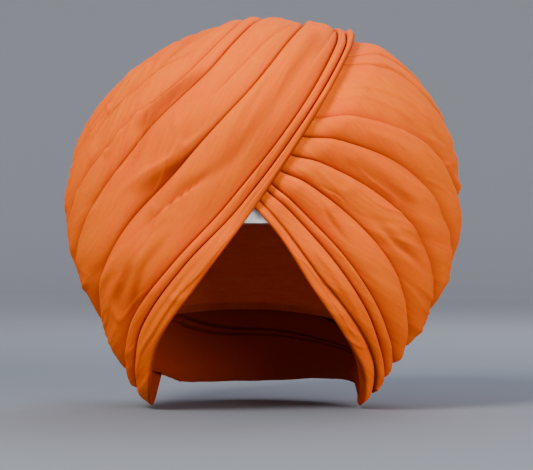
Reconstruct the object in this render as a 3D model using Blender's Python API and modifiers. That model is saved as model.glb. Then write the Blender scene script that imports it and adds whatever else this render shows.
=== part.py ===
"""A tied pagri: one long cotton length wound over a white under band.

Seen from the front (-Y), the left group of wraps climbs from the lower left tip over the
brow to the upper right and closes behind, and lies over the right group, which fans out
from under its edge round the right side and the back. Both leave a pointed opening at the brow.
Every wrap is a padded fold of its own: a crisp lip lies over the wrap next to it, the top
swells behind the lip, and the far side dips under the following wrap.
"""

import math

import bmesh
import bpy
import numpy as np

# Driving sizes, in metres
HALF_WIDTH = 0.1395
HALF_DEPTH = 0.1350
CROWN_RISE = 0.1380
CENTRE_HEIGHT = 0.1330
HEAD_HALF_WIDTH = 0.0775
HEAD_HALF_LENGTH = 0.0975
HEAD_CROWN_RISE = 0.0740
BAND_THICKNESS = 0.0020
BAND_LOWER = -0.0040
BAND_UPPER = 0.0240
BAND_CLEAR = 0.012
BAND_FADE = 0.010
CLOTH_GAP = 0.0005
HEAD_CLEARANCE = 0.0008

# Depths under the outer form where the padding is full, in metres
WRAP_DEPTH = 0.0109
CORE_DEPTH = 0.0131
BORDER_DEPTH = 0.0029
UNDER_BORDER_DEPTH = 0.0034
FLOOR_DEPTH = 0.0057
END_DEPTH = 0.0077
TAIL_FALL = 0.0009
FULL_ROOM = 0.0125
CORE_WALL = 0.0030
CORE_SLACK = 0.0030

# Shares and counts that follow no single size
LEAST_SHARE = 0.25
LEAST_LAP = 0.0010
LEAST_WALL = 0.0002
HEAD_TAPER = 0.06
TAPER_FROM = 25.0
TAPER_OVER = 35.0
LEAST_FLAT = 0.05
TAIL_SHARE = 0.35
STEP_SHARE = 0.45
MIDDLE_SHARE = 0.80
WIDE_WRAPS = ("left_wrap_1", "left_wrap_2")
EDGE_MIDDLE = (0.75, 0.50, 0.25, 0.0)
LIP_POWER = 0.7
ROLL_POWER = 2.2
LEFT_POLE = 145.0
RIGHT_POLE = 55.0
EDGE_REACH = 0.020
SINK_REACH = 0.0028
THIN_REACH = 0.019
THIN_FADE = 0.006
PRESSED_CREST = 0.0026
PRESSED_FLAT = 0.45
ENDS_FLAT = 0.30

# Outer form: radius from the centre, as a share of the half sizes, by elevation in degrees
FORM_COLUMNS = ("elevation", "left", "right", "front", "back")
FORM = (
    (-75, 1.150, 1.150, 0.760, 1.270),
    (-60, 1.094, 1.088, 0.760, 1.195),
    (-45, 0.995, 1.005, 0.790, 1.092),
    (-30, 0.934, 0.992, 0.786, 1.056),
    (-15, 0.943, 1.000, 0.777, 1.054),
    (0, 0.957, 1.021, 0.785, 1.052),
    (15, 0.976, 1.050, 0.882, 1.047),
    (30, 0.981, 1.068, 1.040, 1.040),
    (45, 0.976, 1.072, 1.094, 1.026),
    (60, 0.971, 1.064, 1.068, 1.006),
    (75, 0.986, 1.028, 1.022, 0.998),
    (90, 1.000, 1.000, 1.000, 1.000),
)

# Folds of the left group: angle from its pole, in degrees, at stations round the pole.
# Station 0 is over the crown, 90 the brow, 180 the lower left and 270 the back.
LEFT_STATIONS = tuple(range(0, 360, 30))
LEFT_FOLDS = {
    "edge": (82.5, 85.0, 87.5, 87.7, 87.0, 87.6, 96.0, 92.0, 88.5, 87.5, 86.5, 84.0),
    "pleat": (80.0, 83.5, 85.6, 83.5, 79.6, 80.8, 91.0, 87.5, 83.5, 82.5, 82.2, 80.8),
    "band": (77.0, 81.0, 83.2, 79.8, 76.2, 76.7, 86.5, 83.0, 78.5, 77.5, 77.8, 77.3),
    "sheet": (68.5, 70.2, 69.8, 61.7, 56.5, 60.7, 71.5, 69.0, 65.0, 63.0, 65.0, 67.5),
    "side": (57.5, 58.3, 57.3, 47.3, 42.6, 45.3, 54.5, 54.0, 50.0, 48.5, 51.5, 55.0),
    "high": (51.0, 54.5, 52.8, 40.3, 33.9, 35.5, 41.5, 41.0, 37.5, 36.0, 40.0, 45.5),
    "top": (43.0, 49.0, 41.0, 27.7, 21.7, 23.6, 28.5, 28.5, 25.5, 24.5, 28.5, 36.0),
}

# Where the left group's wraps are cut into sections, closer over the brow
LEFT_TURNS = (
    0, 12, 24, 34, 43, 51, 59, 67, 75, 83, 91, 99, 107, 116, 125, 134, 143,
    152, 160, 168, 176, 186, 198, 211, 225, 240, 255, 270, 285, 300, 315, 330, 345,
)

# Where the right group's wraps are cut into sections, closer by the left group's edge
RIGHT_TURNS = (
    83.6, 86.0, 87.5, 90, 95, 102, 111, 121, 131, 141, 151, 161, 171,
    182, 195, 209, 223, 237, 250, 260, 266, 270, 273.5, 277,
)

# Folds of the right group: angle from its pole, in degrees. Station 80 lies under the left
# group at the brow, 180 is the lower right and 280 lies under the left group behind.
RIGHT_STATIONS = tuple(range(80, 300, 20))
RIGHT_FOLDS = {
    "first": (61.0, 48.7, 42.7, 42.2, 48.0, 56.0, 58.0, 56.0, 53.0, 52.0, 54.0),
    "second": (66.0, 56.5, 51.7, 53.1, 60.8, 71.5, 74.0, 71.0, 67.0, 66.0, 70.0),
    "third": (70.5, 64.2, 62.0, 64.9, 75.0, 86.5, 87.0, 83.0, 79.0, 79.0, 86.0),
    "fourth": (74.5, 71.6, 72.6, 78.6, 89.8, 98.5, 97.0, 93.0, 90.0, 92.5, 102.0),
    "fifth": (77.3, 79.3, 83.2, 89.8, 97.8, 103.5, 102.0, 101.0, 101.5, 107.0, 116.0),
    "sixth": (79.9, 82.2, 87.0, 93.7, 101.8, 107.6, 106.0, 107.0, 112.0, 122.0, 131.0),
    "seventh": (82.8, 87.6, 94.0, 99.0, 104.9, 111.8, 109.6, 113.0, 122.0, 140.0, 149.0),
    "edge": (86.0, 90.8, 98.6, 104.3, 109.3, 116.6, 113.4, 119.2, 135.0, 162.0, 170.0),
}

# Wraps: crest and dip are depths in metres, crest_at a share of the width from the lip
WRAP_COLUMNS = ("name", "outer", "inner", "beyond", "crest", "dip", "crest_at")
LEFT_WRAPS = (
    ("left_border_wrap", "pleat", "edge", None, 0.0016, 0.0002, 0.30),
    ("left_pleat_wrap", "band", "pleat", "edge", 0.0012, UNDER_BORDER_DEPTH, 0.25),
    ("left_wrap_1", "sheet", "band", "pleat", 0.0014, 0.0026, 0.18),
    ("left_wrap_2", "side", "sheet", "band", 0.0012, 0.0028, 0.15),
    ("left_wrap_3", "high", "side", "sheet", 0.0012, 0.0026, 0.22),
    ("left_wrap_4", "top", "high", "side", 0.0010, 0.0022, 0.25),
)
RIGHT_WRAPS = (
    ("right_edge_wrap", "seventh", "edge", None, 0.0006, 0.0012, 0.40),
    ("right_wrap_1", "sixth", "seventh", "edge", 0.0018, 0.0004, 0.30),
    ("right_wrap_2", "fifth", "sixth", "seventh", 0.0020, 0.0034, 0.30),
    ("right_wrap_3", "fourth", "fifth", "sixth", 0.0024, 0.0040, 0.30),
    ("right_wrap_4", "third", "fourth", "fifth", 0.0026, 0.0042, 0.30),
    ("right_wrap_5", "second", "third", "fourth", 0.0026, 0.0042, 0.30),
    ("right_wrap_6", "first", "second", "third", 0.0026, 0.0042, 0.30),
)
CAP_CREST = 0.0004
CAP_DIP = 0.0020
CROWN_WRAP_DIP = 0.0042
CROWN_WRAP_CREST = 0.0006
EDGE_TUCK = 0.0026
EDGE_TUCK_FALL = 0.0010

# Across each wrap: shares of the width where its top is read, from lip to far side
TOP_SHARES = (0.0, 0.05, 0.16, 0.36, 0.60, 0.82, 1.0)
BORDER_SHARES = (0.0, 0.05, 0.20, 0.42, 0.56, 0.62, 0.84, 0.96, 1.0)

# The fine pleat line along the border wrap: share of the width at the left stations
BORDER_PLEAT = (0.50, 0.50, 0.50, 0.55, 0.72, 0.58, 0.45, 0.50, 0.50, 0.50, 0.50, 0.50)
BORDER_PLEAT_DEPTH = 0.0011
BORDER_PLEAT_WIDTH = 0.16

# The soft valley and ridge across the broad front sheet and its neighbour
VALLEY_COLUMNS = ("wrap", "centre", "reach", "share", "drift", "width", "depth")
VALLEYS = (
    ("left_wrap_1", 104, 34, 0.58, 0.16, 0.11, 0.0016),
    ("left_wrap_1", 138, 16, 0.50, 0.10, 0.12, 0.0012),
    ("left_wrap_1", 34, 26, 0.82, -0.04, 0.10, 0.0014),
    ("left_wrap_2", 88, 30, 0.62, -0.30, 0.12, 0.0018),
    ("left_wrap_2", 112, 26, 0.34, -0.14, 0.10, 0.0012),
    ("left_wrap_3", 72, 30, 0.45, -0.20, 0.14, 0.0018),
    ("right_wrap_1", 132, 40, 0.52, 0.06, 0.12, 0.0012),
    ("right_wrap_4", 136, 22, 0.55, 0.25, 0.14, 0.0014),
    ("left_wrap_1", 262, 46, 0.45, 0.12, 0.12, 0.0014),
    ("left_wrap_2", 285, 40, 0.52, -0.14, 0.12, 0.0014),
    ("right_edge_wrap", 236, 30, 0.45, 0.05, 0.16, 0.0014),
)

# Lowest elevation that the inner turns reach, in degrees, by direction in plan (-90 front)
CORE_PLAN = (-180, -150, -135, -120, -105, -90, -75, -60, -45, -30, 0, 45, 90, 135, 180)
CORE_FLOOR = (-46, -36, -26, 2, 20, 25, 20, 4, -26, -40, -47, -38, -31, -36, -46)

CORE_TURNS = (
    -180, -165, -150, -140, -131, -123, -116, -109, -102, -90, -78, -71, -64, -57, -49,
    -40, -30, -15, 0, 20, 40, 58, 74, 90, 106, 122, 140, 160,
)
CORE_LEVELS = 8
CAP_RINGS = 4
CROWN_HIDDEN_SHARES = (0.0, 0.78)
CROWN_SHARES = (0.0, 0.08, 0.24, 0.45, 0.66, 0.84, 1.0)
CROWN_UNDER_SHARES = (0.82, 0.64, 0.46, 0.28, 0.12)
CROWN_HIDDEN = 6.0
CROWN_SWING = (52.0, -46.0)
BAND_ROUND = 40
BAND_LEVELS = 3

MATERIALS = {
    "orange_cotton": ((0.86, 0.235, 0.040), 0.86),
    "orange_cotton_inside": ((0.72, 0.180, 0.030), 0.90),
    "white_cotton": ((0.80, 0.81, 0.84), 0.80),
}
COLLECTION_NAME = "tied_pagri"


def smooth_step(value):
    """Ease from 0 to 1 as value goes from 0 to 1."""
    t = np.clip(value, 0.0, 1.0)
    return t * t * (3.0 - 2.0 * t)


def read_curve(places, values, at, period=None):
    """Read a smooth curve through values given at rising places."""
    x = np.asarray(places, float)
    y = np.asarray(values, float)
    at = np.asarray(at, float)
    if period:
        x = np.concatenate([x[-2:] - period, x, x[:2] + period])
        y = np.concatenate([y[-2:], y, y[:2]])
        at = np.mod(at - places[0], period) + places[0]
    at = np.clip(at, x[0], x[-1])
    k = np.clip(np.searchsorted(x, at, side="right") - 1, 0, len(x) - 2)
    slope = np.gradient(y, x)
    h = x[k + 1] - x[k]
    t = (at - x[k]) / h
    start = (2 * t ** 3 - 3 * t ** 2 + 1) * y[k] + (t ** 3 - 2 * t ** 2 + t) * h * slope[k]
    end = (3 * t ** 2 - 2 * t ** 3) * y[k + 1] + (t ** 3 - t ** 2) * h * slope[k + 1]
    return start + end


def form_column(name):
    """One column of the table of the outer form."""
    return [row[FORM_COLUMNS.index(name)] for row in FORM]


def split(direction):
    """Plan cosine, plan sine and elevation in degrees of unit directions."""
    plan = np.arctan2(direction[..., 1], direction[..., 0])
    flat = np.hypot(direction[..., 0], direction[..., 1])
    elevation = np.degrees(np.arcsin(np.clip(direction[..., 2], -1.0, 1.0)))
    return np.cos(plan), np.sin(plan), flat, elevation


def outer_point(direction):
    """The outer form's point for a unit direction, from the centre."""
    cx, sy, _, elevation = split(direction)
    places = form_column("elevation")
    left = read_curve(places, form_column("left"), elevation)
    right = read_curve(places, form_column("right"), elevation)
    front = read_curve(places, form_column("front"), elevation)
    back = read_curve(places, form_column("back"), elevation)
    wide = left + (right - left) * (1 + cx) / 2
    deep = front + (back - front) * (1 + sy) / 2
    share = 1 / np.sqrt((cx / wide) ** 2 + (sy / deep) ** 2)
    return direction * np.array([HALF_WIDTH, HALF_DEPTH, CROWN_RISE]) * share[..., None]


def head_radius(direction):
    """Distance from the centre to the hollow's wall along unit directions."""
    cx, sy, flat, elevation = split(direction)
    round_plan = 1 / np.sqrt((cx / HEAD_HALF_WIDTH) ** 2 + (sy / HEAD_HALF_LENGTH) ** 2)
    above = 1 / np.sqrt((flat / round_plan) ** 2 + (direction[..., 2] / HEAD_CROWN_RISE) ** 2)
    taper = 1 - HEAD_TAPER * smooth_step((-elevation - TAPER_FROM) / TAPER_OVER)
    below = round_plan * taper / np.maximum(flat, LEAST_FLAT)
    return np.where(elevation > 0, above, below)


def rest_radius(direction):
    """Where the cloth's inner side may begin: on the under band, or just off the head."""
    head = head_radius(direction)
    height = head * direction[..., 2]
    near = smooth_step((height - BAND_LOWER + BAND_CLEAR) / BAND_FADE)
    near = near * smooth_step((BAND_UPPER + BAND_CLEAR - height) / BAND_FADE)
    return head + HEAD_CLEARANCE + near * (BAND_THICKNESS + CLOTH_GAP)


def place(direction, level):
    """Points at a level in metres above (+) or under (-) the outer form, by room."""
    outer = outer_point(direction)
    radius = np.linalg.norm(outer, axis=-1)
    ray = outer / radius[..., None]
    return ray * (radius + level)[..., None] + np.array([0.0, 0.0, CENTRE_HEIGHT])


def room_share(direction):
    """How much of the full padding fits between the hollow and the outer form."""
    outer = outer_point(direction)
    radius = np.linalg.norm(outer, axis=-1)
    ray = outer / radius[..., None]
    return np.clip((radius - rest_radius(ray)) / FULL_ROOM, LEAST_SHARE, 1.0)


def round_pole(pole, turn, away):
    """Unit directions at angles turn round a pole and away from it, in degrees."""
    p = math.radians(pole)
    side = 1.0 if pole > 90.0 else -1.0
    axis = np.array([math.cos(p), 0.0, math.sin(p)])
    over = side * np.array([math.sin(p), 0.0, -math.cos(p)])
    ahead = np.array([0.0, -1.0, 0.0])
    t = np.radians(np.asarray(turn, float))[..., None]
    a = np.radians(np.asarray(away, float))[..., None]
    return axis * np.cos(a) + np.sin(a) * (over * np.cos(t) + ahead * np.sin(t))


def left_fold(name, turn):
    """Directions along a fold of the left group."""
    return round_pole(LEFT_POLE, turn, read_curve(LEFT_STATIONS, LEFT_FOLDS[name], turn, 360.0))


def right_fold(name, turn):
    """Directions along a fold of the right group."""
    return round_pole(RIGHT_POLE, turn, read_curve(RIGHT_STATIONS, RIGHT_FOLDS[name], turn))


def past_edge(direction):
    """Distance in metres from the left group's edge, negative where that group covers."""
    p = math.radians(LEFT_POLE)
    axis = np.array([math.cos(p), 0.0, math.sin(p)])
    over = np.array([math.sin(p), 0.0, -math.cos(p)])
    away = np.degrees(np.arccos(np.clip(direction @ axis, -1.0, 1.0)))
    turn = np.degrees(np.arctan2(-direction[..., 1], direction @ over))
    edge = read_curve(LEFT_STATIONS, LEFT_FOLDS["edge"], turn, 360.0)
    return np.radians(away - edge) * HALF_WIDTH


def between(first, second, share):
    """Directions part of the way from one fold to the next, or past it."""
    blend = first + (second - first) * share
    return blend / np.linalg.norm(blend, axis=-1, keepdims=True)


def swell(share, crest, dip, crest_at):
    """Level of a wrap's top at a share of its width: steep behind the lip, then falling."""
    rise = np.clip(share / crest_at, 0.0, 1.0)
    fall = np.clip((share - crest_at) / (1.0 - crest_at), 0.0, 1.0)
    return crest * np.sin(rise * math.pi / 2) ** LIP_POWER - (crest + dip) * fall ** ROLL_POWER


def valley_level(name, turn, share):
    """Depth of the soft valleys laid along a wrap."""
    level = np.zeros(np.broadcast(turn, share).shape)
    for wrap, centre, reach, middle, drift, width, depth in VALLEYS:
        if wrap != name:
            continue
        offset = (np.asarray(turn) - centre) / reach
        fade = smooth_step(1.0 - np.abs(offset))
        across = (share - middle - drift * offset) / width
        level = level - depth * fade * np.exp(-across ** 2)
    return level


def border_level(turn, share):
    """The fine pleat that runs along the border wrap: a soft dip with a crisp far side."""
    line = read_curve(LEFT_STATIONS, BORDER_PLEAT, turn, 360.0)
    across = (line - share) / BORDER_PLEAT_WIDTH
    return np.where(across >= 0, -BORDER_PLEAT_DEPTH * np.exp(-across ** 2), 0.0)


def near_edge(direction):
    """How far the right group is pressed by the left group's edge, from 0 to 1."""
    return smooth_step((EDGE_REACH - past_edge(direction)) / EDGE_REACH)


def under_edge(direction):
    """How far the right group has gone under the left group's edge, from 0 to 1."""
    return smooth_step(-past_edge(direction) / SINK_REACH)


def flatness(direction):
    """Share of its relief that the right group keeps where the left group presses it."""
    near = 1.0 - (1.0 - PRESSED_FLAT) * near_edge(direction)
    return near * (1.0 - (1.0 - ENDS_FLAT) * under_edge(direction))


def sink(direction, level):
    """Let the right group flatten and sink where it passes under the left group's edge."""
    near = near_edge(direction)
    under = under_edge(direction)
    crest = PRESSED_CREST - (PRESSED_CREST + UNDER_BORDER_DEPTH + TAIL_FALL) * near
    crest = crest - (END_DEPTH - UNDER_BORDER_DEPTH - TAIL_FALL) * under
    return crest + (level - PRESSED_CREST) * flatness(direction)


def left_floor(direction):
    """Underside of the left wraps: thin over the ends of the right group, else padded."""
    full = smooth_step((-past_edge(direction) - THIN_REACH) / THIN_FADE)
    return -(FLOOR_DEPTH + (WRAP_DEPTH - FLOOR_DEPTH) * full) * room_share(direction)


def loft(name, sections, closed, material):
    """A closed solid lofted through loops of points, one loop for each section."""
    mesh = bpy.data.meshes.new(name)
    body = bmesh.new()
    loops = [[body.verts.new(point) for point in section] for section in sections]
    count = len(loops[0])
    rows = len(loops) if closed else len(loops) - 1
    for i in range(rows):
        here = loops[i]
        after = loops[(i + 1) % len(loops)]
        for j in range(count):
            k = (j + 1) % count
            body.faces.new((here[j], here[k], after[k], after[j]))
    if not closed:
        body.faces.new(loops[0])
        body.faces.new(list(reversed(loops[-1])))
    bmesh.ops.recalc_face_normals(body, faces=body.faces)
    body.to_mesh(mesh)
    body.free()
    return add_part(name, mesh, material)


def add_part(name, mesh, material):
    """Put a mesh into the model as a named object with its material."""
    mesh.materials.append(cotton(name, material))
    mesh.shade_smooth()
    mesh.set_sharp_from_angle(angle=math.radians(40))
    part = bpy.data.objects.new(name, mesh)
    bpy.data.collections[COLLECTION_NAME].objects.link(part)
    return part


def cotton(name, kind):
    """A matt cotton material for one part."""
    colour, roughness = MATERIALS[kind]
    material = bpy.data.materials.new(name)
    material.use_nodes = True
    shader = material.node_tree.nodes["Principled BSDF"]
    shader.inputs["Base Color"].default_value = (*colour, 1.0)
    shader.inputs["Roughness"].default_value = roughness
    shader.inputs["Metallic"].default_value = 0.0
    return material


def wrap_sections(outer, inner, beyond, before, spec):
    """Cross sections of a wrap at every station, as loops of points.

    outer, inner, beyond and before are the folds' directions: the lip, the line where the
    next wrap's lip lies, the fold past that one, and the fold outside the lip.
    """
    own = spec["lip_level"]
    step = STEP_SHARE
    tops = []
    for share in spec["shares"]:
        direction = between(outer, inner, share)
        tops.append((direction, spec["top"](direction, share)))
    lower = []
    if beyond is not None:
        tail = between(inner, beyond, TAIL_SHARE)
        tail_level = spec["under"](tail)
        tops.append((tail, tail_level))
        lower.append((tail, spec["floor"](tail)))
    elif spec["inner_lip"] is not None:
        seat = spec["inner_lip"]
        lower.append((inner, seat(inner)))
        inside = between(outer, inner, 1.0 - step)
        lower.append((inside, seat(inside)))
        lower.append((inside, spec["floor"](inside)))
        inside = between(outer, inner, step)
        lower.append((inside, spec["floor"](inside)))
    else:
        lower.append((inner, spec["hem_floor"](inner)))
    for share in spec["middle"]:
        middle = between(outer, inner, share)
        lower.append((middle, spec["floor"](middle)))
    if before is None:
        inside = between(outer, inner, step)
        if spec["thick"] and spec["inner_lip"] is None:
            lower.append((inside, spec["floor"](inside)))
        lower.append((inside, own(inside)))
        lip = between(outer, inner, 0.0)
        lower.append((lip, own(lip)))
    else:
        tuck = between(outer, before, TAIL_SHARE)
        lower.append((tuck, spec["floor"](tuck)))
        lower.append((tuck, spec["tuck"](tuck)))
    points = [place(direction, level) for direction, level in tops + lower]
    return [[tuple(point) for point in section] for section in np.stack(points, axis=1)]


def scaled(depth):
    """A level that keeps its depth where there is room and thins where the hollow is near."""
    return lambda direction: -depth * room_share(direction)


def lap(direction, depth, pressed=False):
    """Depth where one wrap passes under the next, before it is thinned to the room."""
    least = LEAST_LAP / room_share(direction)
    if pressed:
        least = least / flatness(direction)
    return np.maximum(depth, least)


def build_left_wraps():
    """The left group's wraps: closed rings round the group's pole."""
    turn = np.array(LEFT_TURNS, float)
    seats = {row[WRAP_COLUMNS.index("inner")]: row[WRAP_COLUMNS.index("dip")] for row in LEFT_WRAPS}
    seats["top"] = CAP_DIP
    for name, outer, inner, beyond, crest, dip, crest_at in LEFT_WRAPS:
        border = name == "left_border_wrap"

        def top(direction, share, name=name, crest=crest, dip=dip, crest_at=crest_at, border=border):
            level = swell(share, crest, dip if border else lap(direction, dip), crest_at)
            level = level + valley_level(name, turn, share)
            if border:
                level = level + border_level(turn, share)
            return level * room_share(direction)

        def under(direction, dip=dip):
            return -lap(direction, dip) * room_share(direction) - TAIL_FALL

        def lip(direction, seat=seats[outer]):
            return -lap(direction, seat) * room_share(direction) + CLOTH_GAP

        spec = {
            "shares": BORDER_SHARES if border else TOP_SHARES,
            "top": top,
            "under": under,
            "lip_level": lip,
            "inner_lip": None,
            "hem_floor": scaled(BORDER_DEPTH),
            "thick": not border,
            "middle": (MIDDLE_SHARE,) if name in WIDE_WRAPS else (),
            "floor": left_floor,
        }
        sections = wrap_sections(
            left_fold(outer, turn),
            left_fold(inner, turn),
            left_fold(beyond, turn) if beyond else None,
            None,
            spec,
        )
        loft(name, sections, True, "orange_cotton")


def build_crown_cap():
    """The last turn at the left group's pole: a padded disc tucked under the next wrap."""
    turn = np.array(LEFT_TURNS, float)
    name = "left_crown_cap"
    pole = round_pole(LEFT_POLE, np.zeros(len(turn)), np.zeros(len(turn)))

    def level_all(level):
        return np.full(len(turn), level)

    rim = left_fold("top", turn)
    tail = between(rim, left_fold("high", turn), TAIL_SHARE)
    rings = []
    for i in range(1, CAP_RINGS + 1):
        share = i / CAP_RINGS
        direction = between(pole, rim, share)
        rings.append(place(direction, level_all(CAP_CREST - (CAP_CREST + CAP_DIP) * share ** 3)))
    rings.append(place(tail, level_all(-CAP_DIP - TAIL_FALL)))
    rings.append(place(tail, level_all(-WRAP_DEPTH)))
    for i in range(CAP_RINGS - 1, 0, -1):
        rings.append(place(between(pole, rim, i / CAP_RINGS), level_all(-WRAP_DEPTH)))
    body = bmesh.new()
    loops = [[body.verts.new(tuple(point)) for point in ring] for ring in rings]
    count = len(turn)
    for here, after in zip(loops[:-1], loops[1:]):
        for j in range(count):
            k = (j + 1) % count
            body.faces.new((here[j], here[k], after[k], after[j]))
    for ring, level in ((loops[0], CAP_CREST), (loops[-1], -WRAP_DEPTH)):
        centre = body.verts.new(tuple(place(pole[:1], np.array([level]))[0]))
        for j in range(count):
            body.faces.new((ring[j], ring[(j + 1) % count], centre))
    bmesh.ops.recalc_face_normals(body, faces=body.faces)
    mesh = bpy.data.meshes.new(name)
    body.to_mesh(mesh)
    body.free()
    add_part(name, mesh, "orange_cotton")


def build_right_wraps():
    """The right group's wraps: strips whose two ends lie under the left group."""
    turn = np.array(RIGHT_TURNS, float)
    seats = {row[WRAP_COLUMNS.index("inner")]: row[WRAP_COLUMNS.index("dip")] for row in RIGHT_WRAPS}
    seats["first"] = CROWN_WRAP_DIP
    floor = scaled(WRAP_DEPTH)
    for name, outer, inner, beyond, crest, dip, crest_at in RIGHT_WRAPS:
        edge = name == "right_edge_wrap"
        first = name == "right_wrap_1"

        def top(direction, share, name=name, crest=crest, dip=dip, crest_at=crest_at, edge=edge):
            if edge:
                tucked = lap(direction, EDGE_TUCK, True)
                level = crest - (crest + tucked) * (1.0 - share) ** 3 - dip * share ** 6
            else:
                level = swell(share, crest, dip if first else lap(direction, dip, True), crest_at)
            level = level + valley_level(name, turn, share)
            level = sink(direction, level) * room_share(direction)
            return np.maximum(level, floor(direction) + LEAST_WALL) if edge else level

        def under(direction, dip=dip):
            level = sink(direction, -lap(direction, dip, True))
            return level * room_share(direction) - TAIL_FALL

        def lip(direction, seat=seats.get(outer, 0.0)):
            level = sink(direction, -lap(direction, seat, True))
            return level * room_share(direction) + CLOTH_GAP

        def tuck(direction):
            level = sink(direction, -lap(direction, EDGE_TUCK, True))
            level = level * room_share(direction) - EDGE_TUCK_FALL
            return np.maximum(level, floor(direction) + LEAST_WALL)

        def over_tuck(direction):
            level = sink(direction, -lap(direction, EDGE_TUCK, True))
            return level * room_share(direction) + CLOTH_GAP

        spec = {
            "shares": TOP_SHARES,
            "top": top,
            "under": under,
            "lip_level": lip,
            "inner_lip": over_tuck if first else None,
            "hem_floor": floor,
            "thick": True,
            "middle": EDGE_MIDDLE if edge else (),
            "floor": floor,
            "tuck": tuck,
        }
        sections = wrap_sections(
            right_fold(outer, turn),
            right_fold(inner, turn),
            None if first or edge else right_fold(beyond, turn),
            right_fold("sixth", turn) if edge else None,
            spec,
        )
        loft(name, sections, False, "orange_cotton")


def build_right_crown_wrap():
    """The broad wrap over the right of the crown, from under the left group's edge."""
    turn = np.array(RIGHT_TURNS, float)
    inner = right_fold("first", turn)
    beyond = right_fold("second", turn)
    swing = np.linspace(CROWN_SWING[0], CROWN_SWING[1], len(turn))
    edge = read_curve(LEFT_STATIONS, LEFT_FOLDS["edge"], swing, 360.0)
    hidden = round_pole(LEFT_POLE, swing, edge - CROWN_HIDDEN)
    near = round_pole(LEFT_POLE, swing, edge)
    over = [(between(hidden, near, share), 0.0) for share in CROWN_HIDDEN_SHARES]
    over += [(between(near, inner, share), share) for share in CROWN_SHARES]
    tops = []
    for direction, share in over:
        fall = CROWN_WRAP_CREST + lap(direction, CROWN_WRAP_DIP, True)
        level = sink(direction, CROWN_WRAP_CREST - fall * share ** 5)
        tops.append(place(direction, level * room_share(direction)))
    tail = between(inner, beyond, TAIL_SHARE)
    level = sink(tail, -lap(tail, CROWN_WRAP_DIP, True))
    tops.append(place(tail, level * room_share(tail) - TAIL_FALL))
    lower = [tail] + [between(near, inner, share) for share in CROWN_UNDER_SHARES] + [hidden]
    for direction in lower:
        tops.append(place(direction, -WRAP_DEPTH * room_share(direction)))
    sections = [[tuple(point) for point in section] for section in np.stack(tops, axis=1)]
    loft("right_crown_wrap", sections, False, "orange_cotton")


def build_inner_turns():
    """The first turns, wound thick round the head: the wall of the hollow."""
    plan = np.array(CORE_TURNS, float)
    count = len(CORE_TURNS)
    floor = read_curve(CORE_PLAN, CORE_FLOOR, plan)
    rings = []
    shares = [i / CORE_LEVELS for i in range(1, CORE_LEVELS + 1)]
    for share in shares:
        rings.append(core_ring(plan, 90.0 + (floor - 90.0) * share, True))
    for share in reversed(shares):
        rings.append(core_ring(plan, 90.0 + (floor - 90.0) * share, False))
    body = bmesh.new()
    loops = [[body.verts.new(tuple(point)) for point in ring] for ring in rings]
    for here, after in zip(loops[:-1], loops[1:]):
        for j in range(count):
            k = (j + 1) % count
            body.faces.new((here[j], here[k], after[k], after[j]))
    for ring, outside in ((loops[0], True), (loops[-1], False)):
        centre = body.verts.new(tuple(core_ring(np.array([0.0]), np.array([90.0]), outside)[0]))
        for j in range(count):
            body.faces.new((ring[j], ring[(j + 1) % count], centre))
    bmesh.ops.recalc_face_normals(body, faces=body.faces)
    mesh = bpy.data.meshes.new("inner_turns")
    body.to_mesh(mesh)
    body.free()
    add_part("inner_turns", mesh, "orange_cotton_inside")


def core_ring(plan, elevation, outside):
    """Points of the inner turns' outer or inner skin, by plan and elevation in degrees."""
    a = np.radians(plan)
    e = np.radians(elevation)
    direction = np.stack([np.cos(a) * np.cos(e), np.sin(a) * np.cos(e), np.sin(e)], axis=-1)
    outer = outer_point(direction)
    radius = np.linalg.norm(outer, axis=-1)
    ray = outer / radius[..., None]
    inside = head_radius(ray) + HEAD_CLEARANCE + BAND_THICKNESS + CORE_SLACK
    skin = np.maximum(radius - CORE_DEPTH, inside + CORE_WALL) if outside else inside
    return ray * skin[..., None] + np.array([0.0, 0.0, CENTRE_HEIGHT])


def build_under_band():
    """The white band that hugs the head at the brow: circles bridged, then thickened."""
    mesh = bpy.data.meshes.new("under_band")
    body = bmesh.new()
    edges = []
    for i in range(BAND_LEVELS):
        height = BAND_LOWER + (BAND_UPPER - BAND_LOWER) * i / (BAND_LEVELS - 1)
        lean = math.sqrt(max(0.0, 1.0 - (max(height, 0.0) / HEAD_CROWN_RISE) ** 2))
        ring = bmesh.ops.create_circle(body, segments=BAND_ROUND, radius=1.0)["verts"]
        wide = HEAD_HALF_WIDTH * lean + HEAD_CLEARANCE / 2
        deep = HEAD_HALF_LENGTH * lean + HEAD_CLEARANCE / 2
        for vert in ring:
            vert.co = (vert.co.x * wide, vert.co.y * deep, CENTRE_HEIGHT + height)
        edges.append(list({edge for vert in ring for edge in vert.link_edges}))
    for low, high in zip(edges[:-1], edges[1:]):
        bmesh.ops.bridge_loops(body, edges=low + high)
    bmesh.ops.recalc_face_normals(body, faces=body.faces)
    body.to_mesh(mesh)
    body.free()
    band = add_part("under_band", mesh, "white_cotton")
    wall = band.modifiers.new("wall", "SOLIDIFY")
    wall.thickness = BAND_THICKNESS
    wall.offset = 1.0
    wall.use_even_offset = True


def build():
    """Build the whole pagri."""
    for thing in list(bpy.data.objects):
        bpy.data.objects.remove(thing, do_unlink=True)
    collection = bpy.data.collections.new(COLLECTION_NAME)
    bpy.context.scene.collection.children.link(collection)
    build_under_band()
    build_inner_turns()
    build_left_wraps()
    build_crown_cap()
    build_right_wraps()
    build_right_crown_wrap()


build()
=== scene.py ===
"""A tied pagri, dressed for its picture.

Each wrap of the wound cotton is lofted over one outer form: a crisp lip lies over the wrap
next to it, the top carries its pleats and creases, and the far side dips under the next lip.
Folds are read in two sets of polar places: the left group's round a pole on the left, the
right group's round a pole on the right.
"""

import math

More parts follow.
